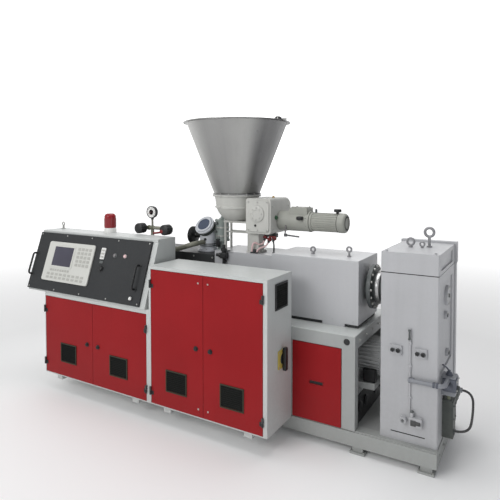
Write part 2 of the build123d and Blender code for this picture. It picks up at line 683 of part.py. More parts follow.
def make_barrel():
    """The feed housing, the conical barrel, its guard and the discharge flange."""
    barrel = cone_x(BARREL_END, BARREL_RADIUS_END, FEED_LEFT, BARREL_RADIUS_FEED, MIDDLE_Y, SCREW_HEIGHT)
    keep("barrel", barrel)
    y0, y1 = MIDDLE_Y - GUARD_WIDTH / 2, MIDDLE_Y + GUARD_WIDTH / 2
    guard = block(GUARD_LEFT, FEED_LEFT, y0, y1, STAND_TOP, GUARD_TOP)
    guard -= rod_x(GUARD_LEFT, FEED_LEFT, MIDDLE_Y, SCREW_HEIGHT, BARREL_RADIUS_FEED + GUARD_CLEARANCE)
    keep("barrel_guard", guard)
    keep("feed_housing", block(FEED_LEFT, COVER_LEFT, y0, y1, STAND_TOP, FEED_TOP))
    flange_left = BARREL_END - DIE_FLANGE_THICKNESS
    flange = rod_x(flange_left, BARREL_END, MIDDLE_Y, SCREW_HEIGHT, DIE_FLANGE_RADIUS)
    flange -= rod_x(flange_left, BARREL_END, MIDDLE_Y, SCREW_HEIGHT, BARREL_BORE)
    for i in range(DIE_BOLT_COUNT):
        angle = math.radians(360 * (i + 0.5) / DIE_BOLT_COUNT)
        y = MIDDLE_Y + DIE_BOLT_CIRCLE / 2 * math.cos(angle)
        z = SCREW_HEIGHT + DIE_BOLT_CIRCLE / 2 * math.sin(angle)
        flange -= rod_x(flange_left, BARREL_END, y, z, DIE_BOLT_RADIUS)
    keep("discharge_flange", flange)


def make_vent():
    """The vent chamber with its tilted sight port, filter, separator and vacuum pipes."""
    chamber = rod_z(VENT_X, MIDDLE_Y, GUARD_TOP, VENT_TOP, VENT_RADIUS)
    chamber += rod_z(VENT_X, MIDDLE_Y, GUARD_TOP, GUARD_TOP + RIM_THICKNESS, VENT_RADIUS + VENT_BASE_RIM)
    port = Pos(VENT_X, MIDDLE_Y, PORT_Z) * Rot(PORT_TILT_DEG, 0, 0)
    middle = (PORT_LENGTH - PORT_ROOT) / 2
    chamber += port * Pos(0, 0, middle) * Cylinder(PORT_RADIUS, PORT_LENGTH + PORT_ROOT)
    rim_z = PORT_LENGTH - RIM_THICKNESS / 2
    chamber += port * Pos(0, 0, rim_z) * Cylinder(PORT_RIM_RADIUS, RIM_THICKNESS)
    keep("vent_chamber", chamber)
    glass_z = PORT_LENGTH + GLASS_THICKNESS / 2
    keep("vent_sight_glass", port * Pos(0, 0, glass_z) * Cylinder(GLASS_RADIUS, GLASS_THICKNESS))
    half = FILTER_LENGTH / 2
    cap = rod_x(FILTER_X - half, FILTER_X + half, MIDDLE_Y, FILTER_Z, FILTER_RADIUS)
    cap += rod_x(FILTER_X + half, VENT_X, MIDDLE_Y, FILTER_Z, FILTER_NECK_RADIUS)
    keep("vacuum_filter", cap - chamber)
    y = MIDDLE_Y + SEPARATOR_SETBACK
    body = rod_z(SEPARATOR_X, y, SEPARATOR_BOTTOM, SEPARATOR_TOP, SEPARATOR_RADIUS)
    for z in (SEPARATOR_BOTTOM, SEPARATOR_TOP - RIM_THICKNESS):
        body += rod_z(SEPARATOR_X, y, z, z + RIM_THICKNESS, SEPARATOR_RIM)
    body += rod_x(VENT_X, SEPARATOR_X, MIDDLE_Y, SEPARATOR_LINK_Z, SEPARATOR_LINK_RADIUS)
    body += rod_z(SEPARATOR_X, y, GUARD_TOP, SEPARATOR_BOTTOM, SEPARATOR_FOOT_RADIUS)
    keep("vacuum_separator", body - chamber)
    make_manifold(chamber)


def make_manifold(chamber):
    """The vacuum pipe from the vent chamber to the manifold, its valves' handwheels and its gauge."""
    low = VACUUM_PIPE_Z - VACUUM_PIPE_FALL
    start_y = MIDDLE_Y - VENT_RADIUS / 2
    route = [(VENT_X, start_y, VACUUM_PIPE_Z), (VENT_X, VACUUM_PIPE_Y, VACUUM_PIPE_Z),
             (VACUUM_PIPE_TURN_X, VACUUM_PIPE_Y, low), (MANIFOLD_X, MANIFOLD_Y, low)]
    work = pipe(route, VACUUM_PIPE_RADIUS, VACUUM_PIPE_BEND) - chamber
    left = MANIFOLD_X + MANIFOLD_SHIFT - WHEEL_SPREAD / 2
    right = left + WHEEL_SPREAD
    main = rod_x(left, right, MANIFOLD_Y, MANIFOLD_Z, PIPE_RADIUS)
    work += rod_z(MANIFOLD_X, MANIFOLD_Y, STAND_TOP, low, VACUUM_PIPE_RADIUS)
    work += rod_z(MANIFOLD_X, MANIFOLD_Y, low, MANIFOLD_Z, PIPE_RADIUS)
    socket_z = GAUGE_Z - GAUGE_RADIUS - GAUGE_SOCKET
    work += main + rod_z(MANIFOLD_X, MANIFOLD_Y, MANIFOLD_Z, socket_z, GAUGE_STEM_RADIUS)
    keep("vacuum_pipework", work)
    wheels = []
    for x in (left, right):
        y = MANIFOLD_Y - PIPE_RADIUS - WHEEL_STANDOFF
        wheel = rod_y(x, y - WHEEL_THICKNESS, y, MANIFOLD_Z, WHEEL_RADIUS)
        wheels.append(wheel + rod_y(x, y, MANIFOLD_Y, MANIFOLD_Z, WHEEL_STEM_RADIUS) - main)
    keep("valve_handwheels", Compound(wheels))
    half = GAUGE_THICKNESS / 2
    gauge = rod_y(MANIFOLD_X, MANIFOLD_Y - half, MANIFOLD_Y + half, GAUGE_Z, GAUGE_RADIUS)
    keep("pressure_gauge", gauge + rod_z(MANIFOLD_X, MANIFOLD_Y, socket_z, GAUGE_Z, GAUGE_SOCKET_RADIUS))


def make_hopper():
    """The hopper cone, its latch and the bowl beneath it."""
    outer = cone_z(HOPPER_X, MIDDLE_Y, HOPPER_NECK_Z, HOPPER_NECK_RADIUS, HOPPER_RIM_Z, HOPPER_RIM_RADIUS)
    inner = cone_z(HOPPER_X, MIDDLE_Y, HOPPER_NECK_Z, HOPPER_NECK_RADIUS - HOPPER_WALL,
                   HOPPER_RIM_Z, HOPPER_RIM_RADIUS - HOPPER_WALL)
    lip = rod_z(HOPPER_X, MIDDLE_Y, HOPPER_RIM_Z - HOPPER_LIP_THICKNESS, HOPPER_RIM_Z,
                HOPPER_RIM_RADIUS + HOPPER_LIP)
    flange = rod_z(HOPPER_X, MIDDLE_Y, HOPPER_NECK_Z, HOPPER_NECK_Z + HOPPER_FLANGE_THICKNESS,
                   HOPPER_NECK_RADIUS + HOPPER_FLANGE)
    keep("hopper", outer + lip + flange - inner)
    x = HOPPER_X + HOPPER_RIM_RADIUS - HOPPER_WALL
    half = LATCH_BLOCK_WIDTH / 2
    latch = block(x - LATCH_BLOCK_LENGTH, x, MIDDLE_Y - half, MIDDLE_Y + half, HOPPER_RIM_Z,
                  HOPPER_RIM_Z + LATCH_BLOCK_HEIGHT)
    half = LATCH_LEVER_WIDTH / 2
    x -= LATCH_OVERLAP
    latch += block(x, x + LATCH_LEVER_LENGTH, MIDDLE_Y - half, MIDDLE_Y + half, HOPPER_RIM_Z,
                   HOPPER_RIM_Z + LATCH_LEVER_HEIGHT)
    keep("hopper_latch", latch)
    keep("feeder_bowl", feeder_bowl())


def feeder_bowl():
    """The round-bottomed bowl under the hopper's flange, hollow inside."""
    under = HOPPER_NECK_Z - HOPPER_FLANGE_THICKNESS
    side = Polyline((BOWL_WAIST_RADIUS, 0, BOWL_WAIST_Z), (HOPPER_NECK_RADIUS, 0, under),
                    (0, 0, under), (0, 0, BOWL_BOTTOM_Z), (BOWL_BOTTOM_RADIUS, 0, BOWL_BOTTOM_Z))
    bulge = ThreePointArc((BOWL_BOTTOM_RADIUS, 0, BOWL_BOTTOM_Z), (BOWL_BULGE_RADIUS, 0, BOWL_BULGE_Z),
                          (BOWL_WAIST_RADIUS, 0, BOWL_WAIST_Z))
    bowl = Pos(HOPPER_X, MIDDLE_Y, 0) * revolve(make_face([*side.edges(), bulge]), Axis.Z)
    bowl += rod_z(HOPPER_X, MIDDLE_Y, under, HOPPER_NECK_Z, HOPPER_NECK_RADIUS + HOPPER_FLANGE)
    return bowl - cone_z(HOPPER_X, MIDDLE_Y, BOWL_BOTTOM_Z + BOWL_FLOOR, BOWL_INSIDE_RADIUS,
                         HOPPER_NECK_Z, HOPPER_NECK_RADIUS - HOPPER_WALL)


def make_feeder():
    """The feeder frame, its gearbox, chute, reducer and motor."""
    half = FRAME_WIDTH / 2
    frame = block(HOPPER_X - FRAME_LEFT_INSET, FEEDER_LEFT, MIDDLE_Y - half, MIDDLE_Y + half,
                  BOWL_BOTTOM_Z - FRAME_SLAB, BOWL_BOTTOM_Z)
    left, right = HOPPER_X - FRAME_LEG_LEFT_INSET, FEEDER_LEFT - FRAME_LEG_RIGHT_INSET
    for y in (MIDDLE_Y - FRAME_LEG_SPREAD / 2, MIDDLE_Y + FRAME_LEG_SPREAD / 2 - FRAME_LEG):
        middle = y + FRAME_LEG / 2
        for x in (left, right):
            frame += block(x, x + FRAME_LEG, y, y + FRAME_LEG, FEED_TOP, BOWL_BOTTOM_Z)
        frame += rod_x(left, right, middle, FRAME_ROD_Z, FRAME_ROD_RADIUS)
    keep("feeder_frame", frame)
    keep("feeder_gearbox", feeder_case())
    keep("feed_chute", feed_chute())
    half = REDUCER_CASE_WIDTH / 2
    reducer = rod_x(FEEDER_RIGHT, REDUCER_RIGHT, MIDDLE_Y, FEED_MOTOR_Z, REDUCER_RADIUS)
    case_right = REDUCER_RIGHT - REDUCER_CASE_INSET
    reducer += block(case_right - REDUCER_CASE_LENGTH, case_right, MIDDLE_Y - half, MIDDLE_Y + half,
                     FEED_MOTOR_Z, FEED_MOTOR_Z + REDUCER_CASE_HEIGHT)
    keep("feeder_reducer", reducer)
    keep("feeder_motor", rod_x(REDUCER_RIGHT, FEED_MOTOR_END, MIDDLE_Y, FEED_MOTOR_Z, FEED_MOTOR_RADIUS))


def feeder_case():
    """The feeder gearbox: rounded along its edges from front to back, cut back at its top rear."""
    outline = Polyline((FEEDER_FRONT, FEEDER_BOTTOM), (FEEDER_FRONT, FEEDER_TOP),
                       (FEEDER_BACK - FEEDER_CHAMFER, FEEDER_TOP), (FEEDER_BACK, FEEDER_TOP - FEEDER_CHAMFER),
                       (FEEDER_BACK, FEEDER_BOTTOM), close=True)
    side = make_face(Plane.YZ * outline)
    case = Pos(FEEDER_LEFT, 0, 0) * extrude(side, FEEDER_RIGHT - FEEDER_LEFT, dir=(1, 0, 0))
    return fillet(case.edges().filter_by(Axis.Y), FEEDER_CORNER)


def feed_chute():
    """The square feed chute on its flange."""
    half, flange = CHUTE_WIDTH / 2, CHUTE_WIDTH / 2 + CHUTE_FLANGE
    chute = block(CHUTE_X - half, CHUTE_X + half, CHUTE_Y - half, CHUTE_Y + half, FEED_TOP, FEEDER_BOTTOM)
    chute += block(CHUTE_X - flange, CHUTE_X + flange, CHUTE_Y - flange, CHUTE_Y + flange, FEED_TOP,
                   FEED_TOP + CHUTE_FLANGE_THICKNESS)
    inside = half - CHUTE_WALL
    return chute - block(CHUTE_X - inside, CHUTE_X + inside, CHUTE_Y - inside, CHUTE_Y + inside,
                         FEED_TOP, FEEDER_BOTTOM)


def cabinet(x0, x1, top, door_top, jamb_left, jamb_right):
    """A hollow sheet cabinet with one wide door opening in its front."""
    body = block(x0, x1, 0, CABINET_DEPTH, CABINET_BOTTOM, top)
    body -= block(x0 + CABINET_SHEET, x1 - CABINET_SHEET, CABINET_FRAME + DOOR_THICKNESS,
                  CABINET_DEPTH - CABINET_SHEET, CABINET_BOTTOM + CABINET_SHEET, top - CABINET_SHEET)
    return body - block(x0 + jamb_left, x1 - jamb_right, 0, CABINET_FRAME + DOOR_THICKNESS,
                        DOOR_BOTTOM, door_top)


def door(x0, x1, z1):
    """A sheet door with folded edges and a hole for its grille."""
    leaf = block(x0, x1, 0, DOOR_THICKNESS, DOOR_BOTTOM, z1)
    leaf -= block(x0 + DOOR_SHEET, x1 - DOOR_SHEET, DOOR_SHEET, DOOR_THICKNESS,
                  DOOR_BOTTOM + DOOR_SHEET, z1 - DOOR_SHEET)
    middle = (x0 + x1) / 2
    half_x, half_z = GRILLE_WIDTH / 2 - GRILLE_EDGE, GRILLE_HEIGHT / 2 - GRILLE_EDGE
    return leaf - block(middle - half_x, middle + half_x, 0, DOOR_SHEET,
                        GRILLE_Z - half_z, GRILLE_Z + half_z)


def door_fittings(x0, x1, hinge_x, side, latch_z, heights):
    """A door's grille, latch and hinge knuckles; side is 1 where the hinge is on the right."""
    middle = (x0 + x1) / 2
    grille = block(middle - GRILLE_WIDTH / 2, middle + GRILLE_WIDTH / 2, -GRILLE_PROUD, 0,
                   GRILLE_Z - GRILLE_HEIGHT / 2, GRILLE_Z + GRILLE_HEIGHT / 2)
    latch_x = x0 + LATCH_FROM_SEAM if side > 0 else x1 - LATCH_FROM_SEAM
    latch = rod_y(latch_x, -LATCH_LENGTH, 0, latch_z, LATCH_RADIUS)
    solids = [grille, latch]
    for z in heights:
        knuckle = rod_z(hinge_x, HINGE_Y, z - HINGE_LENGTH / 2, z - HINGE_CLEARANCE, HINGE_RADIUS)
        edge = x1 if side > 0 else x0
        leaf = block(edge, edge - side * HINGE_LEAF_WIDTH, -HINGE_LEAF, 0,
                     z - HINGE_LENGTH / 2, z - HINGE_CLEARANCE)
        web = block(hinge_x, edge - side * HINGE_RADIUS, HINGE_Y, -HINGE_LEAF / 2,
                    z - HINGE_LENGTH / 2, z - HINGE_CLEARANCE)
        bore = rod_z(hinge_x, HINGE_Y, z - HINGE_LENGTH, z, HINGE_PIN_RADIUS + HINGE_CLEARANCE)
        solids.append(knuckle + leaf + web - bore)
    return Compound(solids)


def frame_hinges(hinge_x, frame_x, heights):
    """The fixed halves of a door's hinges, with their pins, on the cabinet's jamb."""
    halves = []
    for z in heights:
        knuckle = rod_z(hinge_x, HINGE_Y, z, z + HINGE_LENGTH / 2, HINGE_RADIUS)
        leaf = block(hinge_x, frame_x, HINGE_Y, 0, z, z + HINGE_LENGTH / 2)
        pin = rod_z(hinge_x, HINGE_Y, z - HINGE_LENGTH / 2, z + HINGE_LENGTH / 2, HINGE_PIN_RADIUS)
        halves.append(knuckle + leaf + pin)
    return halves


def door_layout():
    """Each door's name with its edges, top, hinge line, hinge side, latch height and hinge heights."""
    gap = DOOR_GAP
    low_left, low_right = LOW_LEFT + LOW_JAMB_LEFT, -LOW_JAMB_RIGHT
    tall_left, tall_right = TALL_JAMB_LEFT, TALL_WIDTH - TALL_JAMB_RIGHT
    low = (LOW_DOOR_TOP - gap, LOW_LATCH_Z, LOW_HINGE_HEIGHTS)
    tall = (TALL_DOOR_TOP - gap, TALL_LATCH_Z, TALL_HINGE_HEIGHTS)
    rows = [("low_left_door", low_left + gap, LOW_SEAM - gap / 2, low_left, -1, low),
            ("low_right_door", LOW_SEAM + gap / 2, low_right - gap, low_right, 1, low),
            ("tall_left_door", tall_left + gap, TALL_SEAM - gap / 2, tall_left, -1, tall),
            ("tall_right_door", TALL_SEAM + gap / 2, tall_right - gap, tall_right, 1, tall)]
    return rows


def make_cabinets():
    """Both cabinets with their doors, hinges and fittings."""
    low = cabinet(LOW_LEFT, 0, LOW_TOP, LOW_DOOR_TOP, LOW_JAMB_LEFT, LOW_JAMB_RIGHT)
    keep("low_cabinet", low)
    tall = cabinet(0, TALL_WIDTH, TALL_TOP, TALL_DOOR_TOP, TALL_JAMB_LEFT, TALL_JAMB_RIGHT)
    keep("tall_cabinet", tall)
    pins = []
    for name, x0, x1, hinge_x, side, (top, latch_z, heights) in door_layout():
        keep(name, door(x0, x1, top))
        keep(name + "_fittings", door_fittings(x0, x1, hinge_x, side, latch_z, heights))
        pins += frame_hinges(hinge_x, hinge_x + side * HINGE_FRAME_WIDTH, heights)
    keep("hinge_pins", Compound(pins))


def panel_frame():
    """The plane of the console's sloping panel: origin at its lower edge, X along the machine."""
    low = Vector(0, -PANEL_FOOT_PROUD, LOW_TOP + PANEL_LOW_MARGIN)
    high = Vector(0, CONSOLE_LEAN, CONSOLE_TOP - CONSOLE_LIP)
    up = (high - low).normalized()
    return Plane(origin=low, x_dir=(1, 0, 0), z_dir=Vector(1, 0, 0).cross(up)), (high - low).length


def on_panel(x0, x1, v0, v1, depth):
    """A slab on the console panel's plane, standing out by its depth."""
    plane, _ = panel_frame()
    return plane * Pos((x0 + x1) / 2, (v0 + v1) / 2, depth / 2) * Box(x1 - x0, v1 - v0, depth)


def make_console():
    """The console box, its sloping panel, the controller, handles, buttons and beacon."""
    plane, height = panel_frame()
    foot = plane.origin - plane.y_dir * (PANEL_LOW_MARGIN / plane.y_dir.Z)
    profile = Polyline((foot.Y, LOW_TOP), (CONSOLE_LEAN, CONSOLE_TOP - CONSOLE_LIP),
                       (CONSOLE_LEAN, CONSOLE_TOP), (CABINET_DEPTH, CONSOLE_TOP),
                       (CABINET_DEPTH, LOW_TOP), close=True)
    face = make_face(Plane.YZ * profile)
    keep("console_box", Pos(CONSOLE_LEFT, 0, 0) * extrude(face, CONSOLE_RIGHT - CONSOLE_LEFT, dir=(1, 0, 0)))
    keep("console_panel", on_panel(CONSOLE_LEFT, PANEL_RIGHT, 0, height, PANEL_SLAB))
    half = SCREEN_CASE_WIDTH / 2
    low = SCREEN_CASE_LOW
    case = on_panel(SCREEN_CASE_X - half, SCREEN_CASE_X + half, low, low + SCREEN_CASE_HEIGHT,
                    PANEL_SLAB + SCREEN_CASE_THICKNESS)
    keep("controller", case - pieces["console_panel"])
    grips = [bow_handle(plane, x, HANDLE_LOW) for x in (LEFT_HANDLE_X, RIGHT_HANDLE_X)]
    keep("panel_handles", Compound(grips))
    buttons = [plane * Pos(x, v, PANEL_SLAB + BUTTON_PROUD / 2) * Cylinder(BUTTON_RADIUS, BUTTON_PROUD)
               for x, v in BUTTON_PLACES]
    keep("panel_buttons", Compound(buttons))
    base = rod_z(BEACON_X, BEACON_Y, CONSOLE_TOP, CONSOLE_TOP + BEACON_BASE_HEIGHT, BEACON_RADIUS)
    dome_low = CONSOLE_TOP + BEACON_BASE_HEIGHT
    dome = rod_z(BEACON_X, BEACON_Y, dome_low, dome_low + BEACON_DOME_HEIGHT,
                 BEACON_RADIUS - BEACON_DOME_INSET)
    dome = fillet(dome.edges().group_by(Axis.Z)[-1], BEACON_DOME_ROUNDING)
    keep("beacon", base + dome)


def bow_handle(plane, x, v):
    """A bow handle that stands off the console panel."""
    low, high, top = v + HANDLE_RADIUS, v + HANDLE_LENGTH - HANDLE_RADIUS, PANEL_SLAB + HANDLE_STANDOFF
    points = [(low, PANEL_SLAB), (low, top), (high, top), (high, PANEL_SLAB)]
    places = [plane.from_local_coords(Vector(x, along, out)) for along, out in points]
    return pipe(places, HANDLE_RADIUS, HANDLE_BEND)


def make_side_fittings():
    """The window and the main switch on the tall cabinet's right side."""
    x = TALL_WIDTH
    half, window_z = WINDOW_SIZE / 2, TALL_TOP - WINDOW_FROM_TOP
    keep("side_window", block(x, x + WINDOW_THICKNESS, WINDOW_Y - half, WINDOW_Y + half,
                              window_z - half, window_z + half))
    half = SWITCH_PLATE / 2
    plate = block(x, x + SWITCH_PLATE_THICKNESS, SWITCH_Y - half, SWITCH_Y + half,
                  SWITCH_Z - half, SWITCH_Z + half)
    shaft_end = x + SWITCH_PLATE_THICKNESS + SWITCH_GAP
    shaft = rod_x(x + SWITCH_PLATE_THICKNESS, shaft_end, SWITCH_Y, SWITCH_Z, SWITCH_SHAFT_RADIUS)
    keep("switch_plate", plate)
    handle = block(shaft_end, shaft_end + SWITCH_HANDLE_THICKNESS, SWITCH_Y - SWITCH_HANDLE_WIDTH / 2,
                   SWITCH_Y + SWITCH_HANDLE_WIDTH / 2, SWITCH_Z - SWITCH_HANDLE_LENGTH / 2,
                   SWITCH_Z + SWITCH_HANDLE_LENGTH / 2)
    keep("switch_handle", handle + shaft)


def main():
    make_base()
    make_stand()
    make_drive_motor()
    make_gearbox()
    make_lifting_eyes()
    make_oil_fittings()
    make_drive_cover()
    make_barrel()
    make_vent()
    make_hopper()
    make_feeder()
    make_cabinets()
    make_console()
    make_side_fittings()
    return write_parts()


def write_parts():
    """Set the origin under the middle of the machine, on the floor, and write each piece."""
    box = Compound(list(pieces.values())).bounding_box()
    origin = Vector((box.min.X + box.max.X) / 2, (box.min.Y + box.max.Y) / 2, box.min.Z)
    os.makedirs("parts", exist_ok=True)
    for name, shape in pieces.items():
        export_step(shape.moved(Location(-origin)), f"parts/{name}.step")
    return origin


ORIGIN = main()
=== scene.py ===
import bmesh
import bpy
import json
from itertools import product
from math import cos, pi, radians, sin, sqrt
from mathutils import Matrix, Vector


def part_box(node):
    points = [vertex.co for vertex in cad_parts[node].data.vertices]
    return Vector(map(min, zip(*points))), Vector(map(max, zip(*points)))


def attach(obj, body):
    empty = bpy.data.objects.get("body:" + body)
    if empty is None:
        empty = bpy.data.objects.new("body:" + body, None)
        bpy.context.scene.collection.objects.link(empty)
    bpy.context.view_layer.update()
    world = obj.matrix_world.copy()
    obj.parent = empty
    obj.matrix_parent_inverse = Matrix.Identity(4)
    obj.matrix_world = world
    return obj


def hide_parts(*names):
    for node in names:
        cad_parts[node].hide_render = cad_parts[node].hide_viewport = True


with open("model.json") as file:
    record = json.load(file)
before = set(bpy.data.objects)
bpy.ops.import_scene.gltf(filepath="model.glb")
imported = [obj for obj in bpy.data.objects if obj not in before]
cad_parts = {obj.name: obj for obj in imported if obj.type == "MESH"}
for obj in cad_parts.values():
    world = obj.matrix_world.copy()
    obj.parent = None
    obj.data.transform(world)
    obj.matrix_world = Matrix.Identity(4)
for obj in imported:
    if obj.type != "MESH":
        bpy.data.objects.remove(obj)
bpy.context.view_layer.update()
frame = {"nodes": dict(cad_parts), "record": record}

# Layout millimetres: X 0 where the cabinets meet, Y 0 at the cabinets' front, Z 0 on the floor.
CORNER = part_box("tall_cabinet")[0]
MID_Y = 698
HOPPER_X = 302
MM = 1000
BODY = "machine"
RIGHT, LEFT, BACK, FRONT, UP, DOWN = (1, 0, 0), (-1, 0, 0), (0, 1, 0), (0, -1, 0), (0, 0, 1), (0, 0, -1)


def place(x, y, z):
    """A layout point, in metres in the row frame."""
    return Vector((CORNER.x + x / MM, CORNER.y + y / MM, z / MM))


def box_mm(node):
    """A CAD node's lowest and highest corners in layout millimetres."""
    low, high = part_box(node)
    shift = Vector((CORNER.x, CORNER.y, 0))
    return (low - shift) * MM, (high - shift) * MM


def new_object(name, data):
    """An object, linked to the scene."""
    made = bpy.data.objects.new(name, data)
    bpy.context.scene.collection.objects.link(made)
    return made


# ---- materials ----

def node(tree, kind, inputs, **settings):
    """A shader node; its inputs are values or other nodes' sockets."""
    made = tree.nodes.new(kind)
    for key, value in settings.items():
        setattr(made, key, value)
    for key, value in inputs.items():
        if isinstance(value, bpy.types.NodeSocket):
            tree.links.new(value, made.inputs[key])
        else:
            made.inputs[key].default_value = value
    return made


def shade(colour, factor):
    return tuple(min(1.0, c * factor) for c in colour) + (1.0,)


def mixed(tree, factor, first, second):
    """A mix of two colours."""
    return node(tree, "ShaderNodeMix", {0: factor, 6: first, 7: second}, data_type="RGBA").outputs[2]


def ranged(tree, value, low, high, to_low=0, to_high=1):
    return node(tree, "ShaderNodeMapRange", {"Value": value, "From Min": low, "From Max": high, "To Min": to_low,
        "To Max": to_high}).outputs[0]


def noise(tree, vector, scale, detail=3.0, rough=0.5):
    return node(tree, "ShaderNodeTexNoise", {"Vector": vector, "Scale": scale, "Detail": detail,
        "Roughness": rough}).outputs["Fac"]


def stretched(tree, vector, scale):
    return node(tree, "ShaderNodeMapping", {"Vector": vector, "Scale": scale}).outputs[0]


def maths(tree, operation, *values):
    return node(tree, "ShaderNodeMath", dict(enumerate(values)), operation=operation).outputs[0]


def surface(name, colour, rough, spread, metallic=0.0, grain=0.2, scale=700, streak=0.06, wear=0.3, dust=0, worn=None,
        coat=0.0, shine=0.5, brush=None, bands=None, **direct):
    """A finish with broad tone, streaks, fine grain, worn edges and settled dust."""
    made = bpy.data.materials.new(name)
    made.use_nodes = True
    tree = made.node_tree
    tree.nodes.clear()
    spot = node(tree, "ShaderNodeTexCoord", {}).outputs["Object"]
    broad = noise(tree, spot, 2.3)
    fine = noise(tree, spot, 55.0, 5.0, 0.6)
    tone = mixed(tree, ranged(tree, broad, 0.3, 0.7), shade(colour, 1 - spread), shade(colour, 1 + spread))
    # Optional bands of painted reflection and painted shade, used by the hopper's stainless.
    if bands:
        tone = bands(tree, spot, tone)
    if streak:
        run = noise(tree, stretched(tree, spot, (16.0, 16.0, 1.1)), 1.0, 4.0, 0.6)
        tone = mixed(tree, ranged(tree, run, 0.45, 0.75, 0.0, streak * 4), tone, shade(colour, 0.72))
    tone = mixed(tree, ranged(tree, fine, 0.35, 0.75, 0.0, 0.12), tone, shade(colour, 0.8))
    soft = node(tree, "ShaderNodeBevel", {"Radius": 0.0022}, samples=4).outputs[0]
    if wear:
        flat = node(tree, "ShaderNodeNewGeometry", {}).outputs["Normal"]
        turn = node(tree, "ShaderNodeVectorMath", {0: soft, 1: flat}, operation="DOT_PRODUCT").outputs["Value"]
        edge = ranged(tree, turn, 0.995, 0.9)
        chipped = ranged(tree, noise(tree, spot, 30.0, 6.0, 0.7), 0.42, 0.6, 0.15, 1.0)
        rubbed = maths(tree, "MULTIPLY", maths(tree, "MULTIPLY", edge, chipped), wear)
        tone = mixed(tree, rubbed, tone, worn or shade(colour, 1.45))
    if dust:
        height = node(tree, "ShaderNodeSeparateXYZ", {"Vector": spot}).outputs["Z"]
        low = maths(tree, "MULTIPLY", ranged(tree, height, 0.55, 0.02), ranged(tree, fine, 0.3, 0.7, 0.3, 1.0))
        tone = mixed(tree, maths(tree, "MULTIPLY", low, dust), tone, (0.33, 0.32, 0.3, 1.0))
    grit = noise(tree, stretched(tree, spot, brush) if brush else spot, scale, 2.0)
    bump = node(tree, "ShaderNodeBump", {"Height": grit, "Strength": grain, "Distance": 0.0006, "Normal": soft})
    gloss = ranged(tree, fine, 0.3, 0.75, max(0.02, rough - 0.07), rough + 0.09)
    shader = node(tree, "ShaderNodeBsdfPrincipled", {
        "Base Color": tone, "Roughness": gloss, "Metallic": metallic, "Normal": bump.outputs[0], "Coat Weight": coat,
        "Coat Roughness": 0.12, "Specular IOR Level": shine,
        **{key.replace("_", " "): value for key, value in direct.items()}})
    node(tree, "ShaderNodeOutputMaterial", {"Surface": shader.outputs[0]})
    return made


def painted_reflection_and_shade_bands(tree, spot, tone):
    """Vertical light and dark bands round the hopper's axis: painted reflections of the studio, with painted shade on
    the side facing +X.
    """
    axis = place(HOPPER_X, MID_Y, 0)
    moved = node(tree, "ShaderNodeVectorMath", {0: spot, 1: axis}, operation="SUBTRACT").outputs[0]
    parts = node(tree, "ShaderNodeSeparateXYZ", {"Vector": moved}).outputs
    angle = maths(tree, "ARCTAN2", parts["Y"], parts["X"])
    ring = node(tree, "ShaderNodeCombineXYZ", {"X": angle}).outputs[0]
    # Thin light streaks round the axis: painted reflections.
    lines = noise(tree, ring, 42.0, 3.0, 0.6)
    tone = mixed(tree, ranged(tree, lines, 0.4, 0.7, 0.0, 0.15), tone, (0.6, 0.6, 0.58, 1.0))
    # Broad dark bands: painted shade on the side facing +X (0.05 rad), and painted dark reflections at the front (-1.5
    # rad) and back (2.2 rad).
    for middle, full, end, depth in ((0.05, 0.5, 0.8, 0.8), (-1.5, 0.2, 0.6, 0.45), (2.2, 0.5, 1.0, 0.4)):
        off = maths(tree, "ABSOLUTE", maths(tree, "SUBTRACT", angle, middle))
        tone = mixed(tree, ranged(tree, off, full, end, depth, 0.0), tone, (0.13, 0.13, 0.135, 1.0))
    return tone


def paint(red, green, blue, rough, spread, **more):
    """A finish's colour, roughness and spread of tone, with what differs from the usual."""
    return dict(more, colour=(red, green, blue), rough=rough, spread=spread)


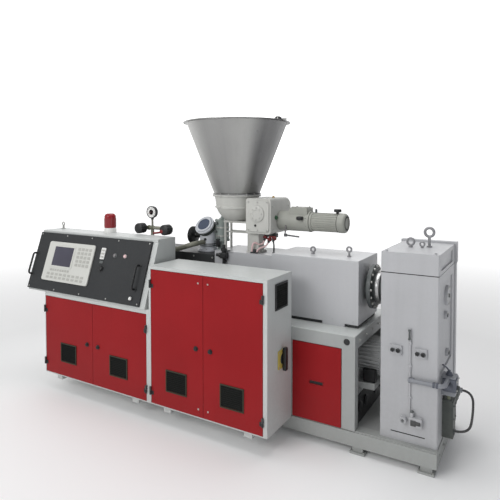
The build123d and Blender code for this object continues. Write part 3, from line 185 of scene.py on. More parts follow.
FINISHES = {
    "frame_grey": paint(0.55, 0.57, 0.56, 0.42, 0.03, grain=0.12, streak=0.03, dust=0.25),
    "panel_red": paint(0.3, 0.011, 0.014, 0.42, 0.07, grain=0.12, streak=0.04, dust=0.04, worn=(0.5, 0.14, 0.13, 1.0),
        shine=0.12),
    "gearbox_silver": paint(0.47, 0.475, 0.49, 0.46, 0.05, grain=0.3, scale=260, streak=0.05, dust=0.25, shine=0.4),
    "cover_grey": paint(0.5, 0.505, 0.52, 0.36, 0.03, grain=0.12, streak=0.03),
    "feeder_grey": paint(0.53, 0.53, 0.5, 0.5, 0.08, grain=0.5, scale=180, wear=0.35, worn=(0.66, 0.65, 0.6, 1.0)),
    "motor_grey": paint(0.3, 0.31, 0.31, 0.55, 0.1, grain=0.4, scale=200, wear=0.5, dust=0.4),
    "dark_metal": paint(0.03, 0.032, 0.034, 0.45, 0.15, grain=0.12, wear=0.5, dust=0.3, worn=(0.25, 0.25, 0.25, 1.0)),
    # The stainless carries painted reflection and painted shade bands round the hopper.
    "stainless": paint(0.42, 0.42, 0.41, 0.34, 0.05, grain=0.05, scale=40, streak=0.05, wear=0, metallic=0.85,
        brush=(6.0, 6.0, 160.0), bands=painted_reflection_and_shade_bands, Anisotropic=0.5),
    "bare_steel": paint(0.45, 0.45, 0.45, 0.33, 0.12, scale=300, dust=0.2, metallic=0.9),
    "panel_charcoal": paint(0.036, 0.038, 0.04, 0.55, 0.08, grain=0.5, scale=520, streak=0.05,
        worn=(0.16, 0.16, 0.16, 1.0), shine=0.25),
    "cream_plastic": paint(0.62, 0.625, 0.59, 0.5, 0.03, grain=0.25, scale=600, streak=0.03, wear=0.25, shine=0.3),
    "black_plastic": paint(0.012, 0.013, 0.014, 0.42, 0.2, grain=0.35, scale=500, wear=0.35,
        worn=(0.09, 0.09, 0.09, 1.0)),
    "red_lens": paint(0.26, 0.012, 0.018, 0.16, 0.1, grain=0.05, streak=0.02, wear=0.1, coat=0.3,
        Subsurface_Weight=0.1, shine=0.3),
    "glass": paint(0.05, 0.07, 0.12, 0.06, 0.15, grain=0.02, streak=0.02, wear=0, coat=0.8),
    "dark_window": paint(0.008, 0.009, 0.008, 0.6, 0.2, wear=0.2, worn=(0.06, 0.06, 0.05, 1.0), shine=0.12),
    "switch_yellow": paint(0.55, 0.43, 0.1, 0.4, 0.05, grain=0.15),
    "white_metal": paint(0.62, 0.64, 0.68, 0.35, 0.05, streak=0.05),
    "gauge_white": paint(0.78, 0.78, 0.76, 0.3, 0.02, grain=0.05, streak=0.02, wear=0.1),
    "hose_rubber": paint(0.03, 0.03, 0.033, 0.6, 0.15, grain=0.6, scale=420, wear=0, dust=0.3),
    # finishes of the small pieces
    "beam_grey": paint(0.36, 0.375, 0.365, 0.5, 0.05, grain=0.12, streak=0.04, dust=0.3),
    "dark_steel": paint(0.16, 0.16, 0.165, 0.4, 0.12, metallic=0.6),
    "pump_green": paint(0.055, 0.066, 0.06, 0.5, 0.2, grain=0.4, scale=200, wear=0.4, dust=0.3,
        worn=(0.2, 0.2, 0.19, 1.0)),
    "coupling_dark": paint(0.1, 0.11, 0.11, 0.45, 0.15, grain=0.3, wear=0.4, dust=0.2),
    "stand_grey": paint(0.38, 0.395, 0.39, 0.45, 0.04, grain=0.12, streak=0.04, dust=0.3),
    "motor_paint": paint(0.34, 0.345, 0.31, 0.5, 0.08, grain=0.4, scale=200, wear=0.35),
    "pipe_blue": paint(0.26, 0.27, 0.295, 0.42, 0.08, wear=0.35),
    "eye_grey": paint(0.3, 0.3, 0.31, 0.4, 0.08, metallic=0.3),
    "vessel_green": paint(0.27, 0.31, 0.295, 0.4, 0.1, streak=0.1, wear=0.35),
    "motor_light": paint(0.46, 0.47, 0.47, 0.5, 0.1, grain=0.4, scale=200, wear=0.5, dust=0.3),
    "pipe_olive": paint(0.25, 0.25, 0.2, 0.5, 0.12, grain=0.3, wear=0.4),
    "valve_blue": paint(0.12, 0.13, 0.16, 0.4, 0.15, grain=0.3, wear=0.4, metallic=0.3),
    "grille_edge": paint(0.05, 0.045, 0.03, 0.55, 0.1, grain=0.12, wear=0.2, shine=0.2),
    "screen_blue": paint(0.06, 0.058, 0.085, 0.2, 0.25, grain=0.02, streak=0, wear=0, coat=0.3),
    "zinc": paint(0.5, 0.5, 0.48, 0.4, 0.12, metallic=0.8),
    "brass": paint(0.5, 0.36, 0.14, 0.35, 0.15, metallic=0.85),
    "dark_red": paint(0.2, 0.012, 0.014, 0.4, 0.15, grain=0.12, wear=0.35),
    "lamp_pink": paint(0.75, 0.52, 0.52, 0.2, 0.05, grain=0.03, wear=0, coat=0.5),
    "lamp_grey": paint(0.16, 0.15, 0.155, 0.25, 0.1, grain=0.05, wear=0, coat=0.5),
    "key_grey": paint(0.45, 0.45, 0.42, 0.5, 0.05, wear=0.2),
    "olive": paint(0.14, 0.15, 0.1, 0.5, 0.12, grain=0.3, wear=0.4),
    "green": paint(0.03, 0.11, 0.05, 0.45, 0.15, grain=0.12),
    # Black for seals and joints, and for the painted shadow and painted shade lines on the gearbox front.
    "gasket_and_painted_shade": paint(0.02, 0.02, 0.02, 0.75, 0.2, grain=0.5, wear=0),
}
MATERIALS = {name: surface(name, **settings) for name, settings in FINISHES.items()}

SLOTS = {part["node"]: part["material_slot"] for part in frame["record"]["subparts"]}
# The coupling housing takes coupling_dark: its dark colour is partly its own paint and partly painted shade.
OWN_FINISH = {
    "lifting_eyes": "eye_grey", "oil_gauges": "gearbox_silver", "oil_pipework": "pipe_blue",
    "vacuum_separator": "vessel_green", "oil_pump_unit": "pump_green", "coupling_housing": "coupling_dark",
    "motor_bed": "frame_grey", "base_frame": "beam_grey", "levelling_feet": "beam_grey",
    "gearbox_cover": "gearbox_silver", "drive_motor": "motor_light", "vacuum_pipework": "pipe_olive",
    "machine_stand": "stand_grey", "feeder_reducer": "motor_paint"}
for name, part in frame["nodes"].items():
    for holder in part.material_slots:
        holder.link = "OBJECT"
        holder.material = MATERIALS[OWN_FINISH.get(name, SLOTS[name])]


# ---- mesh helpers: everything is laid out in millimetres ----

def around(count, radius, phase=0.5):
    """Evenly spaced angles, each with its offsets from the centre."""
    for i in range(count):
        angle = 2 * pi * (i + phase) / count
        yield angle, radius * cos(angle), radius * sin(angle)


def spots(origin):
    """Every crossing of an origin's rows: each coordinate is a number or a row of them."""
    return [Vector(spot) for spot in product(*(v if isinstance(v, tuple) else (v,) for v in origin))]


class Piece:
    """One detailed piece, gathered from parts that are laid out in millimetres."""

    def __init__(self, name, finish, body=BODY, turn=Matrix.Identity(4)):
        self.name, self.body, self.turn = name, body, turn
        self.verts, self.faces, self.marks = [], [], []
        self.finishes, self.current = [finish], 0

    def use(self, finish):
        if finish not in self.finishes:
            self.finishes.append(finish)
        self.current = self.finishes.index(finish)
        return self

    def add(self, verts, faces):
        base = len(self.verts)
        self.verts += [self.turn @ Vector(v) for v in verts]
        self.faces += [[base + i for i in face] for face in faces]
        self.marks += [self.current] * len(faces)
        return self

    def skin(self, verts, rings, closed=False, capped=False):
        """Faces between rings of vertices; a ring of one vertex is a tip."""
        faces = [rings[0], rings[-1]] if capped else []
        for near, far in zip(rings, rings[1:] + rings[:1] if closed else rings[1:]):
            count = max(len(near), len(far))
            for i in range(count):
                j = (i + 1) % count
                corners = near[i % len(near)], near[j % len(near)], far[j % len(far)], far[i % len(far)]
                faces.append(list(dict.fromkeys(corners)))
        return self.add(verts, faces)

    def block(self, x0, x1, y0, y1, z0, z1, cut=1.0):
        """A box with every edge cut by a small chamfer."""
        ends = [sorted(pair) for pair in ((x0, x1), (y0, y1), (z0, z1))]
        cut = min(cut, *(0.45 * (high - low) for low, high in ends))
        corners, verts, faces = list(product((0, 1), repeat=3)), [], []
        for sides, axis in product(corners, range(3)):
            verts.append([ends[i][side] + (0 if i == axis else cut * (1 - 2 * side)) for i, side in enumerate(sides)])

        def number(axis, sides, own):
            return corners.index(tuple(sides[(i - axis) % 3] for i in range(3))) * 3 + own

        for axis in range(3):
            a, b = (axis + 1) % 3, (axis + 2) % 3
            for side in (0, 1):
                faces.append([number(axis, (side, p, q), axis) for p, q in ((0, 0), (1, 0), (1, 1), (0, 1))])
            for p, q in product((0, 1), repeat=2):
                faces.append([number(axis, (0, p, q), a), number(axis, (1, p, q), a), number(axis, (1, p, q), b),
                    number(axis, (0, p, q), b)])
        faces += [[corner * 3, corner * 3 + 1, corner * 3 + 2] for corner in range(8)]
        return self.add(verts, faces)

    def border(self, a0, a1, b0, b1, side, rail, low, high, cut, axis="y"):
        """Four blocks round an opening: two rails at full width and two sides between them."""
        for p, q, r, s in ((a0, a1, b1 - rail, b1), (a0, a1, b0, b0 + rail), (a0, a0 + side, b0 + rail, b1 - rail),
                (a1 - side, a1, b0 + rail, b1 - rail)):
            self.block(*{"x": (low, high, p, q, r, s), "y": (p, q, low, high, r, s),
                "z": (p, q, r, s, low, high)}[axis], cut)

    def lathe(self, origin, axis, profile, count, start=0.0):
        """Turned forms, one at each of the origin's spots: profile is (radius, distance along the axis) pairs."""
        axis = Vector(axis).normalized()
        side = axis.orthogonal().normalized()
        other = axis.cross(side)
        for spot in spots(origin):
            verts, rings = [], []
            for radius, along in profile:
                corners = count if radius else 1
                rings.append([len(verts) + i for i in range(corners)])
                for i in range(corners):
                    angle = start + 2 * pi * i / count
                    verts.append(spot + axis * along + side * radius * cos(angle) + other * radius * sin(angle))
            self.skin(verts, rings)
        return self

    def turned(self, origin, axis, count, *profile, start=0.0):
        """A solid turned form, from the middle of its foot."""
        return self.lathe(origin, axis, [(0, 0), *profile], count, start)

    def hexagon(self, origin, axis, across, depth, start=0.0):
        """A hexagonal bolt head, or nut, with a turned crown."""
        radius = across / sqrt(3)
        return self.turned(origin, axis, 6, (radius, 0), (radius, depth * 0.8), (radius * 0.86, depth), (0, depth),
            start=start)

    def bolt(self, origin, axis, across, start=0.0):
        """A bolt head on its washer."""
        axis, radius, thick = Vector(axis).normalized(), across * 0.66, across * 0.14
        cut = min(0.4, thick * 0.4)
        for spot in spots(origin):
            self.turned(spot, axis, 20, (radius - cut, 0), (radius, cut), (radius, thick - cut), (radius - cut, thick),
                (0, thick))
            self.hexagon(spot + axis * thick, axis, across, across * 0.55, start)
        return self

    def socket_screw(self, origin, axis, radius):
        """A cap screw with a recessed hexagon."""
        deep = radius * 1.1
        return self.turned(origin, axis, 18, (radius, 0), (radius, deep * 0.85), (radius * 0.88, deep),
            (radius * 0.52, deep), (radius * 0.5, deep * 0.45), (0, deep * 0.45))

    def tube(self, points, radius, count, closed=False):
        """A round bar along a line of points."""
        points = [Vector(p) for p in points]
        last, normal, verts = len(points) - 1, None, []
        for i, point in enumerate(points):
            before = points[i - 1] if closed or i > 0 else point
            after = points[0 if i == last else i + 1] if closed or i < last else point
            ahead = (after - before).normalized()
            if normal is None:
                normal = ahead.orthogonal().normalized()
            else:
                normal = (normal - ahead * normal.dot(ahead)).normalized()
            other = ahead.cross(normal)
            verts += [point + normal * a + other * b for angle, a, b in around(count, radius, 0)]
        rings = [[i * count + k for k in range(count)] for i in range(last + 1)]
        return self.skin(verts, rings, closed, not closed)

    def torus(self, origin, axis, ring, wire, count, sides):
        axis = Vector(axis).normalized()
        side = axis.orthogonal().normalized()
        other = axis.cross(side)
        points = [Vector(origin) + (side * a + other * b) * ring for angle, a, b in around(count, 1, 0)]
        return self.tube(points, wire, sides, closed=True)

    def prism(self, outline, low, high, axis="y", cut=0.0):
        """A slab with any outline, given as pairs in the plane across its axis."""
        count = len(outline)
        levels = [(outline, low), (outline, high)]
        if cut:
            middle = Vector([sum(values) / count for values in zip(*outline)])
            arms = [Vector(point) - middle for point in outline]
            inner = [middle + arm * (1 - cut / max(cut * 2, arm.length)) for arm in arms]
            levels = [(inner, low), (outline, low + cut), (outline, high - cut), (inner, high)]
        verts = [{"x": (along, a, b), "y": (a, along, b), "z": (a, b, along)}[axis] for outline_at, along in levels
            for a, b in outline_at]
        rings = [[level * count + i for i in range(count)] for level in range(len(levels))]
        return self.skin(verts, rings, capped=True)

    def bar(self, ring, shift):
        """A bar with a four-cornered section, drawn out by a shift."""
        return self.skin(ring + [p + Vector(shift) for p in ring], [[0, 1, 2, 3], [4, 5, 6, 7]], capped=True)

    def ribs(self, count, x0, x1, height, root, crest):
        """Ribs along a motor; root and crest are their (radius, half the thickness)."""
        middle = Vector((x0, MID_Y, height))
        for angle, y, z in around(count, 1, 0):
            out, side = Vector((0, y, z)), Vector((0, -z, y))
            ring = [middle + out * radius + side * half for radius, half in (
                (root[0], -root[1]), (crest[0], -crest[1]), crest, root)]
            self.bar(ring, (x1 - x0, 0, 0))
        return self

    def done(self, *replaces):
        """Makes the object, and lets it ride on its body."""
        mesh = bpy.data.meshes.new(self.name)
        mesh.from_pydata([place(*v) for v in self.verts], [], self.faces)
        mesh.polygons.foreach_set("material_index", self.marks)
        made = bmesh.new()
        made.from_mesh(mesh)
        bmesh.ops.remove_doubles(made, verts=made.verts, dist=1e-6)
        bmesh.ops.recalc_face_normals(made, faces=made.faces)
        made.to_mesh(mesh)
        made.free()
        mesh.polygons.foreach_set("use_smooth", [True] * len(mesh.polygons))
        mesh.set_sharp_from_angle(angle=radians(38))
        for finish in self.finishes:
            mesh.materials.append(MATERIALS[finish])
        thing = new_object(self.name, mesh)
        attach(thing, self.body)
        if replaces:
            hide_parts(*replaces)


def rounded_rectangle(a0, a1, b0, b1, radius, steps=6):
    """The outline of a rectangle with round corners."""
    points = []
    for a, b, start in ((a1 - radius, b0 + radius, -90), (a1 - radius, b1 - radius, 0), (a0 + radius, b1 - radius, 90),
            (a0 + radius, b0 + radius, 180)):
        for i in range(steps + 1):
            angle = radians(start + 90 * i / steps)
            points.append((a + radius * cos(angle), b + radius * sin(angle)))
    return points


def curve_through(points, steps=6):
    """A smooth line through points, for rigid pipes and bent bars."""
    points = [Vector(p) for p in points]
    ends = [points[0] * 2 - points[1]] + points + [points[-1] * 2 - points[-2]]
    line = []
    for i in range(1, len(ends) - 2):
        a, b, c, d = ends[i - 1:i + 3]
        for k in range(steps):
            t = k / steps
            line.append(0.5 * (2 * b + (c - a) * t + (2 * a - 5 * b + 4 * c - d) * t * t
                               + (3 * b - a - 3 * c + d) * t ** 3))
    line.append(points[-1])
    return line


# ---- camera ----

lens = bpy.data.cameras.new("camera")
camera = new_object("camera", lens)
camera.location = place(2413.7, -2646.9, 1762.6)
camera.rotation_euler = (radians(88.1), 0.0, radians(30.76))
lens.sensor_width = 36.0
lens.lens = 35.82
lens.shift_y = -0.1175
lens.clip_end = 200.0
bpy.context.scene.camera = camera
bpy.context.scene.view_settings.view_transform = "Standard"


# ---- the oil hose from the valve to the pump ----

HOSE = [(2006, 515, 478), (2064, 515, 478), (2066, 527, 345), (2042, 545, 205), (1956, 545, 205)]
hose_curve = bpy.data.curves.new("oil_hose_line", "CURVE")
hose_curve.dimensions = "3D"
hose_curve.bevel_depth = 0.007
hose_curve.bevel_resolution = 5
hose_curve.resolution_u = 16
spline = hose_curve.splines.new("NURBS")
spline.points.add(len(HOSE) - 1)
for point, spot in zip(spline.points, HOSE):
    point.co = (*place(*spot), 1.0)
spline.order_u = 3
spline.use_endpoint_u = True
hose = new_object("oil_hose_line", hose_curve)
hose_curve.materials.append(MATERIALS["hose_rubber"])
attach(hose, BODY)
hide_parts("oil_hose")


# ---- doors: louvred grilles, latches and hinges ----

def door_fittings(name, side, heights):
    """A door's louvres, latch and hinge halves; side is 1 where the hinge is on the right."""
    low, high = box_mm(name)
    middle, half_x, half_z, z = (low.x + high.x) / 2, 92, 78, 328
    piece = Piece(name + "_details", "grille_edge", name + "_body")
    piece.border(middle - half_x, middle + half_x, z - half_z, z + half_z, 9, 9, -6, 0, 1.5)
    piece.use("dark_window")
    for i in range(11):
        lift = z - half_z + 14 + i * 13.0
        piece.prism([(-5.2, lift), (-4.2, lift - 1.4), (1.6, lift + 8.0), (0.6, lift + 9.4)], middle - half_x + 9,
            middle + half_x - 9, "x")
    piece.block(middle - half_x + 8, middle + half_x - 8, 1.8, 2.6, z - half_z + 8, z + half_z - 8, 0.2)
    piece.use("black_plastic")
    latch_x, latch_z = (low.x + 57 if side > 0 else high.x - 57), 441 if high.z < 900 else 598
    piece.turned((latch_x, 0, latch_z), FRONT, 28, (17, 0), (17, 3), (15, 5), (13, 5), (13, 12), (11.5, 13.5),
        (8, 13.5), (7, 12), (0, 12))
    piece.block(latch_x - 1.6, latch_x + 1.6, -15.5, -12, latch_z - 7, latch_z + 7, 0.5)
    edge = high.x if side > 0 else low.x
    hinge_x, plate_x = edge + side * 3, edge - side * 7
    for height in heights:
        piece.lathe((hinge_x, -9, height - 28), UP, [(3.4, 0), (6.4, 0), (7, 1), (7, 26.7), (6.4, 27.7), (3.4, 27.7)],
            20)
        piece.block(edge - side * 22, edge, -3, 0, height - 28, height - 0.4, 0.6)
        piece.block(hinge_x, plate_x, -8, -1.5, height - 28, height - 0.4, 0.6)
        piece.turned((edge - side * 15, -3, (height - 21, height - 7)), FRONT, 12, (3.4, 0), (2.6, 1.2), (0, 1.2))
    piece.done(name + "_fittings")


DOORS = (("low_left_door", -1, (227, 661)), ("low_right_door", 1, (227, 661)),
         ("tall_left_door", -1, (228, 993)), ("tall_right_door", 1, (228, 993)))
for door_name, side, heights in DOORS:
    door_fittings(door_name, side, heights)
    low, high = box_mm(door_name)
    trim = Piece(door_name + "_trim", "panel_red", door_name + "_body")
    trim.turned(((low.x + 30, high.x - 30), 0, (low.z + 30, high.z - 30)), FRONT, 14, (4.6, 0), (4, 1.4), (1.8, 2.0),
        (0, 1.2))
    if door_name.startswith("tall"):
        x = low.x + 38 if side > 0 else high.x - 38
        trim.use("zinc").turned((x, 0, (low.z + 52, high.z - 52)), FRONT, 16, (6.5, 0), (6, 1.8), (0, 2.4))
    trim.done()

# the gasket lines in the door gaps
strip = Piece("cabinet_seals", "gasket_and_painted_shade")
for door_name, side, heights in DOORS:
    low, high = box_mm(door_name)
    for z in (high.z - 16, low.z + 6):
        strip.block(low.x + 6, high.x - 6, 20.5, 26, z, z + 10, 1)
strip.done()

Piece("cabinet_screws", "zinc").bolt((-1136, (40, 300), (160, 470, 770)), LEFT, 9).done()

# ---- operator's console ----

PANEL_LOW = Vector((0, -10, 812))
PANEL_HIGH = Vector((0, 143, 1263))
up = (PANEL_HIGH - PANEL_LOW).normalized()
out = Vector(RIGHT).cross(up)
PANEL = Matrix(((1, 0, 0, 0), (0, up.y, out.y, PANEL_LOW.y), (0, up.z, out.z, PANEL_LOW.z), (0, 0, 0, 1)))
SLAB = 16


def on_panel(name, finish):
    """A piece laid out on the console's panel: along the machine, up the panel, out of it."""
    return Piece(name, finish, turn=PANEL)


def keys(start, pitch, columns, rows, size, lift, cut):
    """A block of keys on the controller."""
    for row, column in product(range(rows), range(columns)):
        x, v = start[0] + column * pitch[0], start[1] + row * pitch[1]
        case.block(x, x + size[0], v, v + size[1], SLAB + 12.5, SLAB + lift, cut)


case = on_panel("controller_case", "cream_plastic")
case.prism(rounded_rectangle(-1176, -636, 82, 404, 16), SLAB, SLAB + 13, "z", 2.5)
case.border(-1106, -848, 194, 377, 16, 13, SLAB + 12.5, SLAB + 17, 1.5, "z")
case.use("screen_blue").block(-1090, -864, 207, 364, SLAB + 12.8, SLAB + 14.2, 0.3)
case.use("key_grey")
keys((-1094, 164), (29.5, 0), 8, 1, (22, 16), 15.6, 1.2)
keys((-818, 222), (42, 32), 4, 5, (30, 21), 15.6, 1.4)
keys((-1120, 102), (50, 28), 9, 2, (34, 18), 15.2, 1.2)
case.done("controller")

strip = on_panel("display_strip", "gauge_white")
strip.prism(rounded_rectangle(-566, -522, 304, 394, 5), SLAB, SLAB + 7, "z", 1.5)
strip.use("key_grey")
for v in (316, 341, 366):
    strip.block(-560, -528, v, v + 14, SLAB + 6.8, SLAB + 8.4, 1)
strip.use("coupling_dark").prism(rounded_rectangle(-562, -526, 272, 292, 4), SLAB, SLAB + 4, "z", 1)
strip.done()

buttons = on_panel("panel_buttons_detail", "black_plastic")
buttons.turned((-529, 233, SLAB), UP, 32, (24, 0), (24, 3), (22, 5), (15, 5), (15, 10), (19, 11), (19, 16), (16, 18),
    (0, 18.6))
for x, v, finish in ((-415, 344, "lamp_grey"), (-307, 346, "lamp_pink")):
    buttons.use("coupling_dark").turned((x, v, SLAB), UP, 32, (18, 0), (18, 3), (15, 5), (0, 5))
    buttons.use(finish).turned((x, v, SLAB + 4.6), UP, 32, (14, 0), (14, 5), (11, 9), (5, 11), (0, 11.4))
buttons.use("black_plastic").turned((-164, 48, SLAB), UP, 32, (17, 0), (17, 3), (14, 4), (0, 4))
buttons.use("gauge_white").turned((-164, 48, SLAB + 3.6), UP, 32, (11, 0), (13, 3), (13, 9), (10, 12), (0, 12.6))
buttons.done("panel_buttons")

handles = on_panel("panel_bow_handles", "black_plastic")
FOOT, HEAD, BEND = 116, 290, 18
arc = [(BEND * sin(radians(a)), BEND * cos(radians(a))) for a in range(0, 91, 15)]
for x in (-1311, -142):
    bend = [(x, FOOT, SLAB)] + [(x, FOOT + BEND - b, SLAB + 24 + a) for a, b in arc]
    bend += [(x, HEAD - BEND + a, SLAB + 24 + b) for a, b in arc] + [(x, HEAD, SLAB)]
    handles.tube(bend, 8, 20)
handles.turned(((-1311, -142), (FOOT, HEAD), SLAB), UP, 28, (14, 0), (14, 2.5), (11, 5), (8.2, 6))
handles.done("panel_handles")

screws = on_panel("panel_screws", "zinc")
screws.turned(((-1318, -1000, -706, -412, -96), (16, 460), SLAB), UP, 16, (6, 0), (5, 2), (2, 2.8), (0, 1.8)).done()

lip = Piece("console_lip", "frame_grey")
lip.prism([(142, 1262), (142, 1281), (147, 1285), (335, 1285), (335, 1281), (152, 1281), (148, 1266)], -1335, -30, "x")
lip.done()

bolt_up = Piece("console_lifting_bolt", "zinc")
bolt_up.turned((-1272, 300, 1284), UP, 24, (20, 0), (20, 5), (12, 7), (9, 9), (9, 34), (0, 34))
bolt_up.torus((-1272, 300, 1284 + 44), BACK, 14, 5.5, 32, 10)
bolt_up.done()

beacon = Piece("beacon_lamp", "gauge_white")
bx, by, bz = -680, 290, 1281
beacon.turned((bx, by, bz), UP, 40, (43, 0), (50, 3), (50, 30), (48, 34), (48, 45), (0, 45))
dome = [(19 + 28 * cos(radians(a)), 135 + 28 * sin(radians(a))) for a in range(0, 91, 15)]
beacon.use("red_lens").lathe((bx, by, bz), UP, [(0, 44), (47, 44), (47, 120)] + dome + [(0, 163)], 40)
for angle, a, b in around(30, 47, 0):
    beacon.tube([(bx + a, by + b, bz + 50), (bx + a, by + b, bz + 124)], 1.3, 6)
beacon.done("beacon")

# ---- tall cabinet's right side ----

SIDE = 962
window = Piece("side_window_detail", "dark_window")
wy, wz, half = 184, 988, 85
window.use("black_plastic").border(wy - half, wy + half, wz - half, wz + half, 12, 12, SIDE, SIDE + 8, 2, "x")
window.use("dark_window").block(SIDE, SIDE + 3, wy - half + 11, wy + half - 11, wz - half + 11, wz + half - 11, 0.5)
for i in range(10):
    lift = wz - half + 17 + i * 13.8
    window.prism([(SIDE + 7.5, lift - 1), (SIDE + 7.5, lift + 1), (SIDE + 2, lift + 8), (SIDE + 2, lift + 5.6)],
        wy - half + 11.5, wy + half - 11.5, "y")
window.done("side_window")

plate = Piece("switch_plate_detail", "switch_yellow")
plate.prism(rounded_rectangle(136, 256, 515, 635, 9), SIDE, SIDE + 7, "x", 1.5)
plate.use("dark_metal").turned((SIDE + 6.8, 196, 575), RIGHT, 40, (34, 0), (34, 2), (31, 3.4), (14, 3.4), (14, 3),
    (0, 3))
plate.use("zinc").turned((SIDE + 7, (148, 244), (527, 623)), RIGHT, 14, (4.5, 0), (4, 1.6), (0, 2))
plate.done("switch_plate")

knob = Piece("switch_handle_detail", "black_plastic", "main_switch")
knob.lathe((SIDE + 8, 196, 575), RIGHT, [(0, 2.6), (16, 2.6), (17, 4), (17, 8), (12, 11), (0, 11)], 32)
grip = [(196 + a, 575 + b) for a, b in ((-12, -75), (12, -75), (15, -68), (17, -20), (19, 0), (17, 20), (15, 68),
    (12, 75), (-12, 75), (-15, 68), (-17, 20), (-19, 0), (-17, -20), (-15, -68))]
knob.prism(grip, SIDE + 13, SIDE + 37, "x", 4)
for i in range(7):
    z = 590 + i * 8
    knob.block(SIDE + 35, SIDE + 38, 186, 206, z, z + 3.5, 0.8)
knob.done("switch_handle")

# ---- stand and base frame ----

ACROSS = (420, 560, 698, 836, 976)
stand = Piece("stand_bolts", "zinc")
stand.bolt(((-656, 134, 925, 1360), 1059, (172, 640)), BACK, 12).bolt((1404, ACROSS, 705), RIGHT, 13)
stand.turned(((904, 944), 337, 690), FRONT, 16, (7, 0), (6, 2), (0, 2.6))
stand.use("black_plastic").turned((1349, 337, 706), FRONT, 32, (20, 0), (20, 3), (17, 7), (0, 7.6)).done()


def panel_trim(piece, x0, x1, face, way):
    """An access panel's corner screws and the raised edge round its grip."""
    piece.turned(((x0 + 22, x1 - 22), face, (low.z + 24, high.z - 24)), way, 14, (5, 0), (4.2, 1.4), (0, 1.8))
    gx, gz = (x0 + x1) / 2, (low.z + high.z) / 2
    piece.border(gx - 52, gx + 52, gz - 15, gz + 15, 5, 4, face - way[1], face + 1.6 * way[1], 0.8)
    return gx, gz


low, high = box_mm("front_access_panel")
panel = Piece("front_panel_trim", "panel_red")
gx, gz = panel_trim(panel, low.x, high.x, low.y, FRONT)
panel.use("gasket_and_painted_shade").block(gx - 46, gx + 46, low.y + 5, low.y + 9.5, gz - 10.5, gz + 10.5, 0.5)
panel.done()

low, high = box_mm("rear_access_panels")
rear = Piece("rear_panel_trim", "panel_red")
for x0, x1 in ((-609, 87), (182, 878), (972, 1313)):
    panel_trim(rear, x0, x1, high.y, BACK)
rear.done()

feet_x = (-1034, -954, -90.7, -10.7, 1379, 1459, 1796, 1876)
Piece("foot_bolts", "zinc").bolt((feet_x, (349, 1047), 14), UP, 8).done()

inside = Piece("stand_inside", "black_plastic")
# Black sheet across the stand below the motor bed: painted shade for the dark inside of the stand.
inside.block(1389.5, 1393, 401, 995, 150, 338, 0.8)
# Black box under the motor's front: a terminal box whose black is partly painted shade of the gap below the motor.
inside.block(1384, 1466, 552, 596, 390, 472, 5)
inside.turned((1393, (470, 590, 806, 926), 250), RIGHT, 28, (34, 0), (36, 3), (36, 8), (30, 10), (0, 10))
inside.use("frame_grey").block(1388, 1468, 542, 854, 343, 385, 3)
inside.use("motor_light").ribs(32, 1428, 1484, 524, (112, 3), (128, 2))
inside.done()

cross_x = (-1072, -1028, -346, -302, 381, 425, 1108, 1152, 1834, 1878)
beams = Piece("beam_bolts", "zinc").bolt((cross_x, 1059, 92), BACK, 13)
beams.use("beam_grey").bolt((1896, ACROSS, 97), RIGHT, 13).done()

# ---- gearbox ----

GX0, GX1, GY0, GY1, SEAM = 1551, 1892, 376, 988, 1167
gear = Piece("gearbox_bolts", "gearbox_silver")
gear.bolt((GX0, (408, 470, 540, 610, 680, 750, 820, 890), SEAM - 17), LEFT, 13)
gear.bolt(((1580, 1640, 1721, 1802, 1862), GY1, SEAM - 17), BACK, 12)
gear.bolt(((1578, 1866), 402, 1295), UP, 14).done()

slot = Piece("gearbox_painted_shadow_lines", "gasket_and_painted_shade")
# Painted shadow in the gap at the gearbox's foot.
slot.block(1619, 1821, 374.6, 377, 195, 201, 0.5)
# The joint under the gearbox cover, darkened as painted shade of the cover's overhang.
slot.block(1551.5, 1891.5, 375.2, 377, 1166.2, 1170.8, 0.3)
slot.done()

sights = Piece("oil_sight_glasses", "gearbox_silver")
SIGHT_Z = 705
sights.turned(((1618, 1678, 1764, 1824), GY0 - 14, (SIGHT_Z - 22, SIGHT_Z + 22)), FRONT, 12, (4, 0), (3.4, 2), (0, 2.4))
ring = (14, 0), (14, 4), (11.5, 6), (9, 6), (9, 3), (0, 3)
sights.use("dark_metal").turned(((1631, 1777), GY0 - 24, SIGHT_Z), FRONT, 6, *ring)
sights.turned(((1665, 1811), GY0 - 24, SIGHT_Z), FRONT, 28, *ring)
sights.use("black_plastic").turned(((1631, 1665, 1777, 1811), GY0 - 26.5, SIGHT_Z), FRONT, 24, (8.6, 0), (7, 1.4),
    (0, 2))
sights.use("coupling_dark").tube([(1730, GY0 - 17, 786), (1730, GY0 - 17, 838)], 5.6, 18)
sights.use("gearbox_silver").tube([(1733, GY0 - 6, 356), (1733, GY0 - 6, 780)], 5, 14)
for z in (430, 620, 760):
    sights.block(1722, 1744, GY0 - 12, GY0, z - 5, z + 5, 1.5)
sights.use("coupling_dark")
for z in (783, 835):
    sights.block(1723, 1737, GY0 - 24, GY0 - 12, z - 5, z + 6, 1.5)
sights.use("gearbox_silver").turned((1697, GY0 - 26, 288), FRONT, 32, (19, 0), (20, 2), (20, 6), (12, 7), (12, 3),
    (0, 3))
sights.use("coupling_dark").hexagon((1697, GY0 - 29, 288), FRONT, 13, 6)
sights.use("dark_metal").block(1744, 1776, GY0 - 40, GY0 - 33.6, 272, 306, 2)
sights.turned((1776, GY0 - 36, 291), RIGHT, 8, (9, 0), (11, 3), (11, 22), (8, 26), (0, 26))
sights.use("coupling_dark").turned((1749, GY0 - 17, 345), UP, 6, (12, 0), (12, 7), (8, 10), (0, 10))
sights.done()

bearing = Piece("bearing_cover_bolts", "zinc")
face = GX1 + 6
for along, z, radius, count, across in ((-20, 1000, 53, 8, 8), (-67, 886, 17, 4, 6), (0, 630, 17, 4, 6)):
    for angle, a, b in around(count, radius):
        bearing.use("zinc").bolt((face, MID_Y + along + a, z + b), RIGHT, across)
    bearing.use("coupling_dark").turned((face, MID_Y + along, z), RIGHT, 24, (13, 0), (12, 6), (0, 7))
bearing.done()

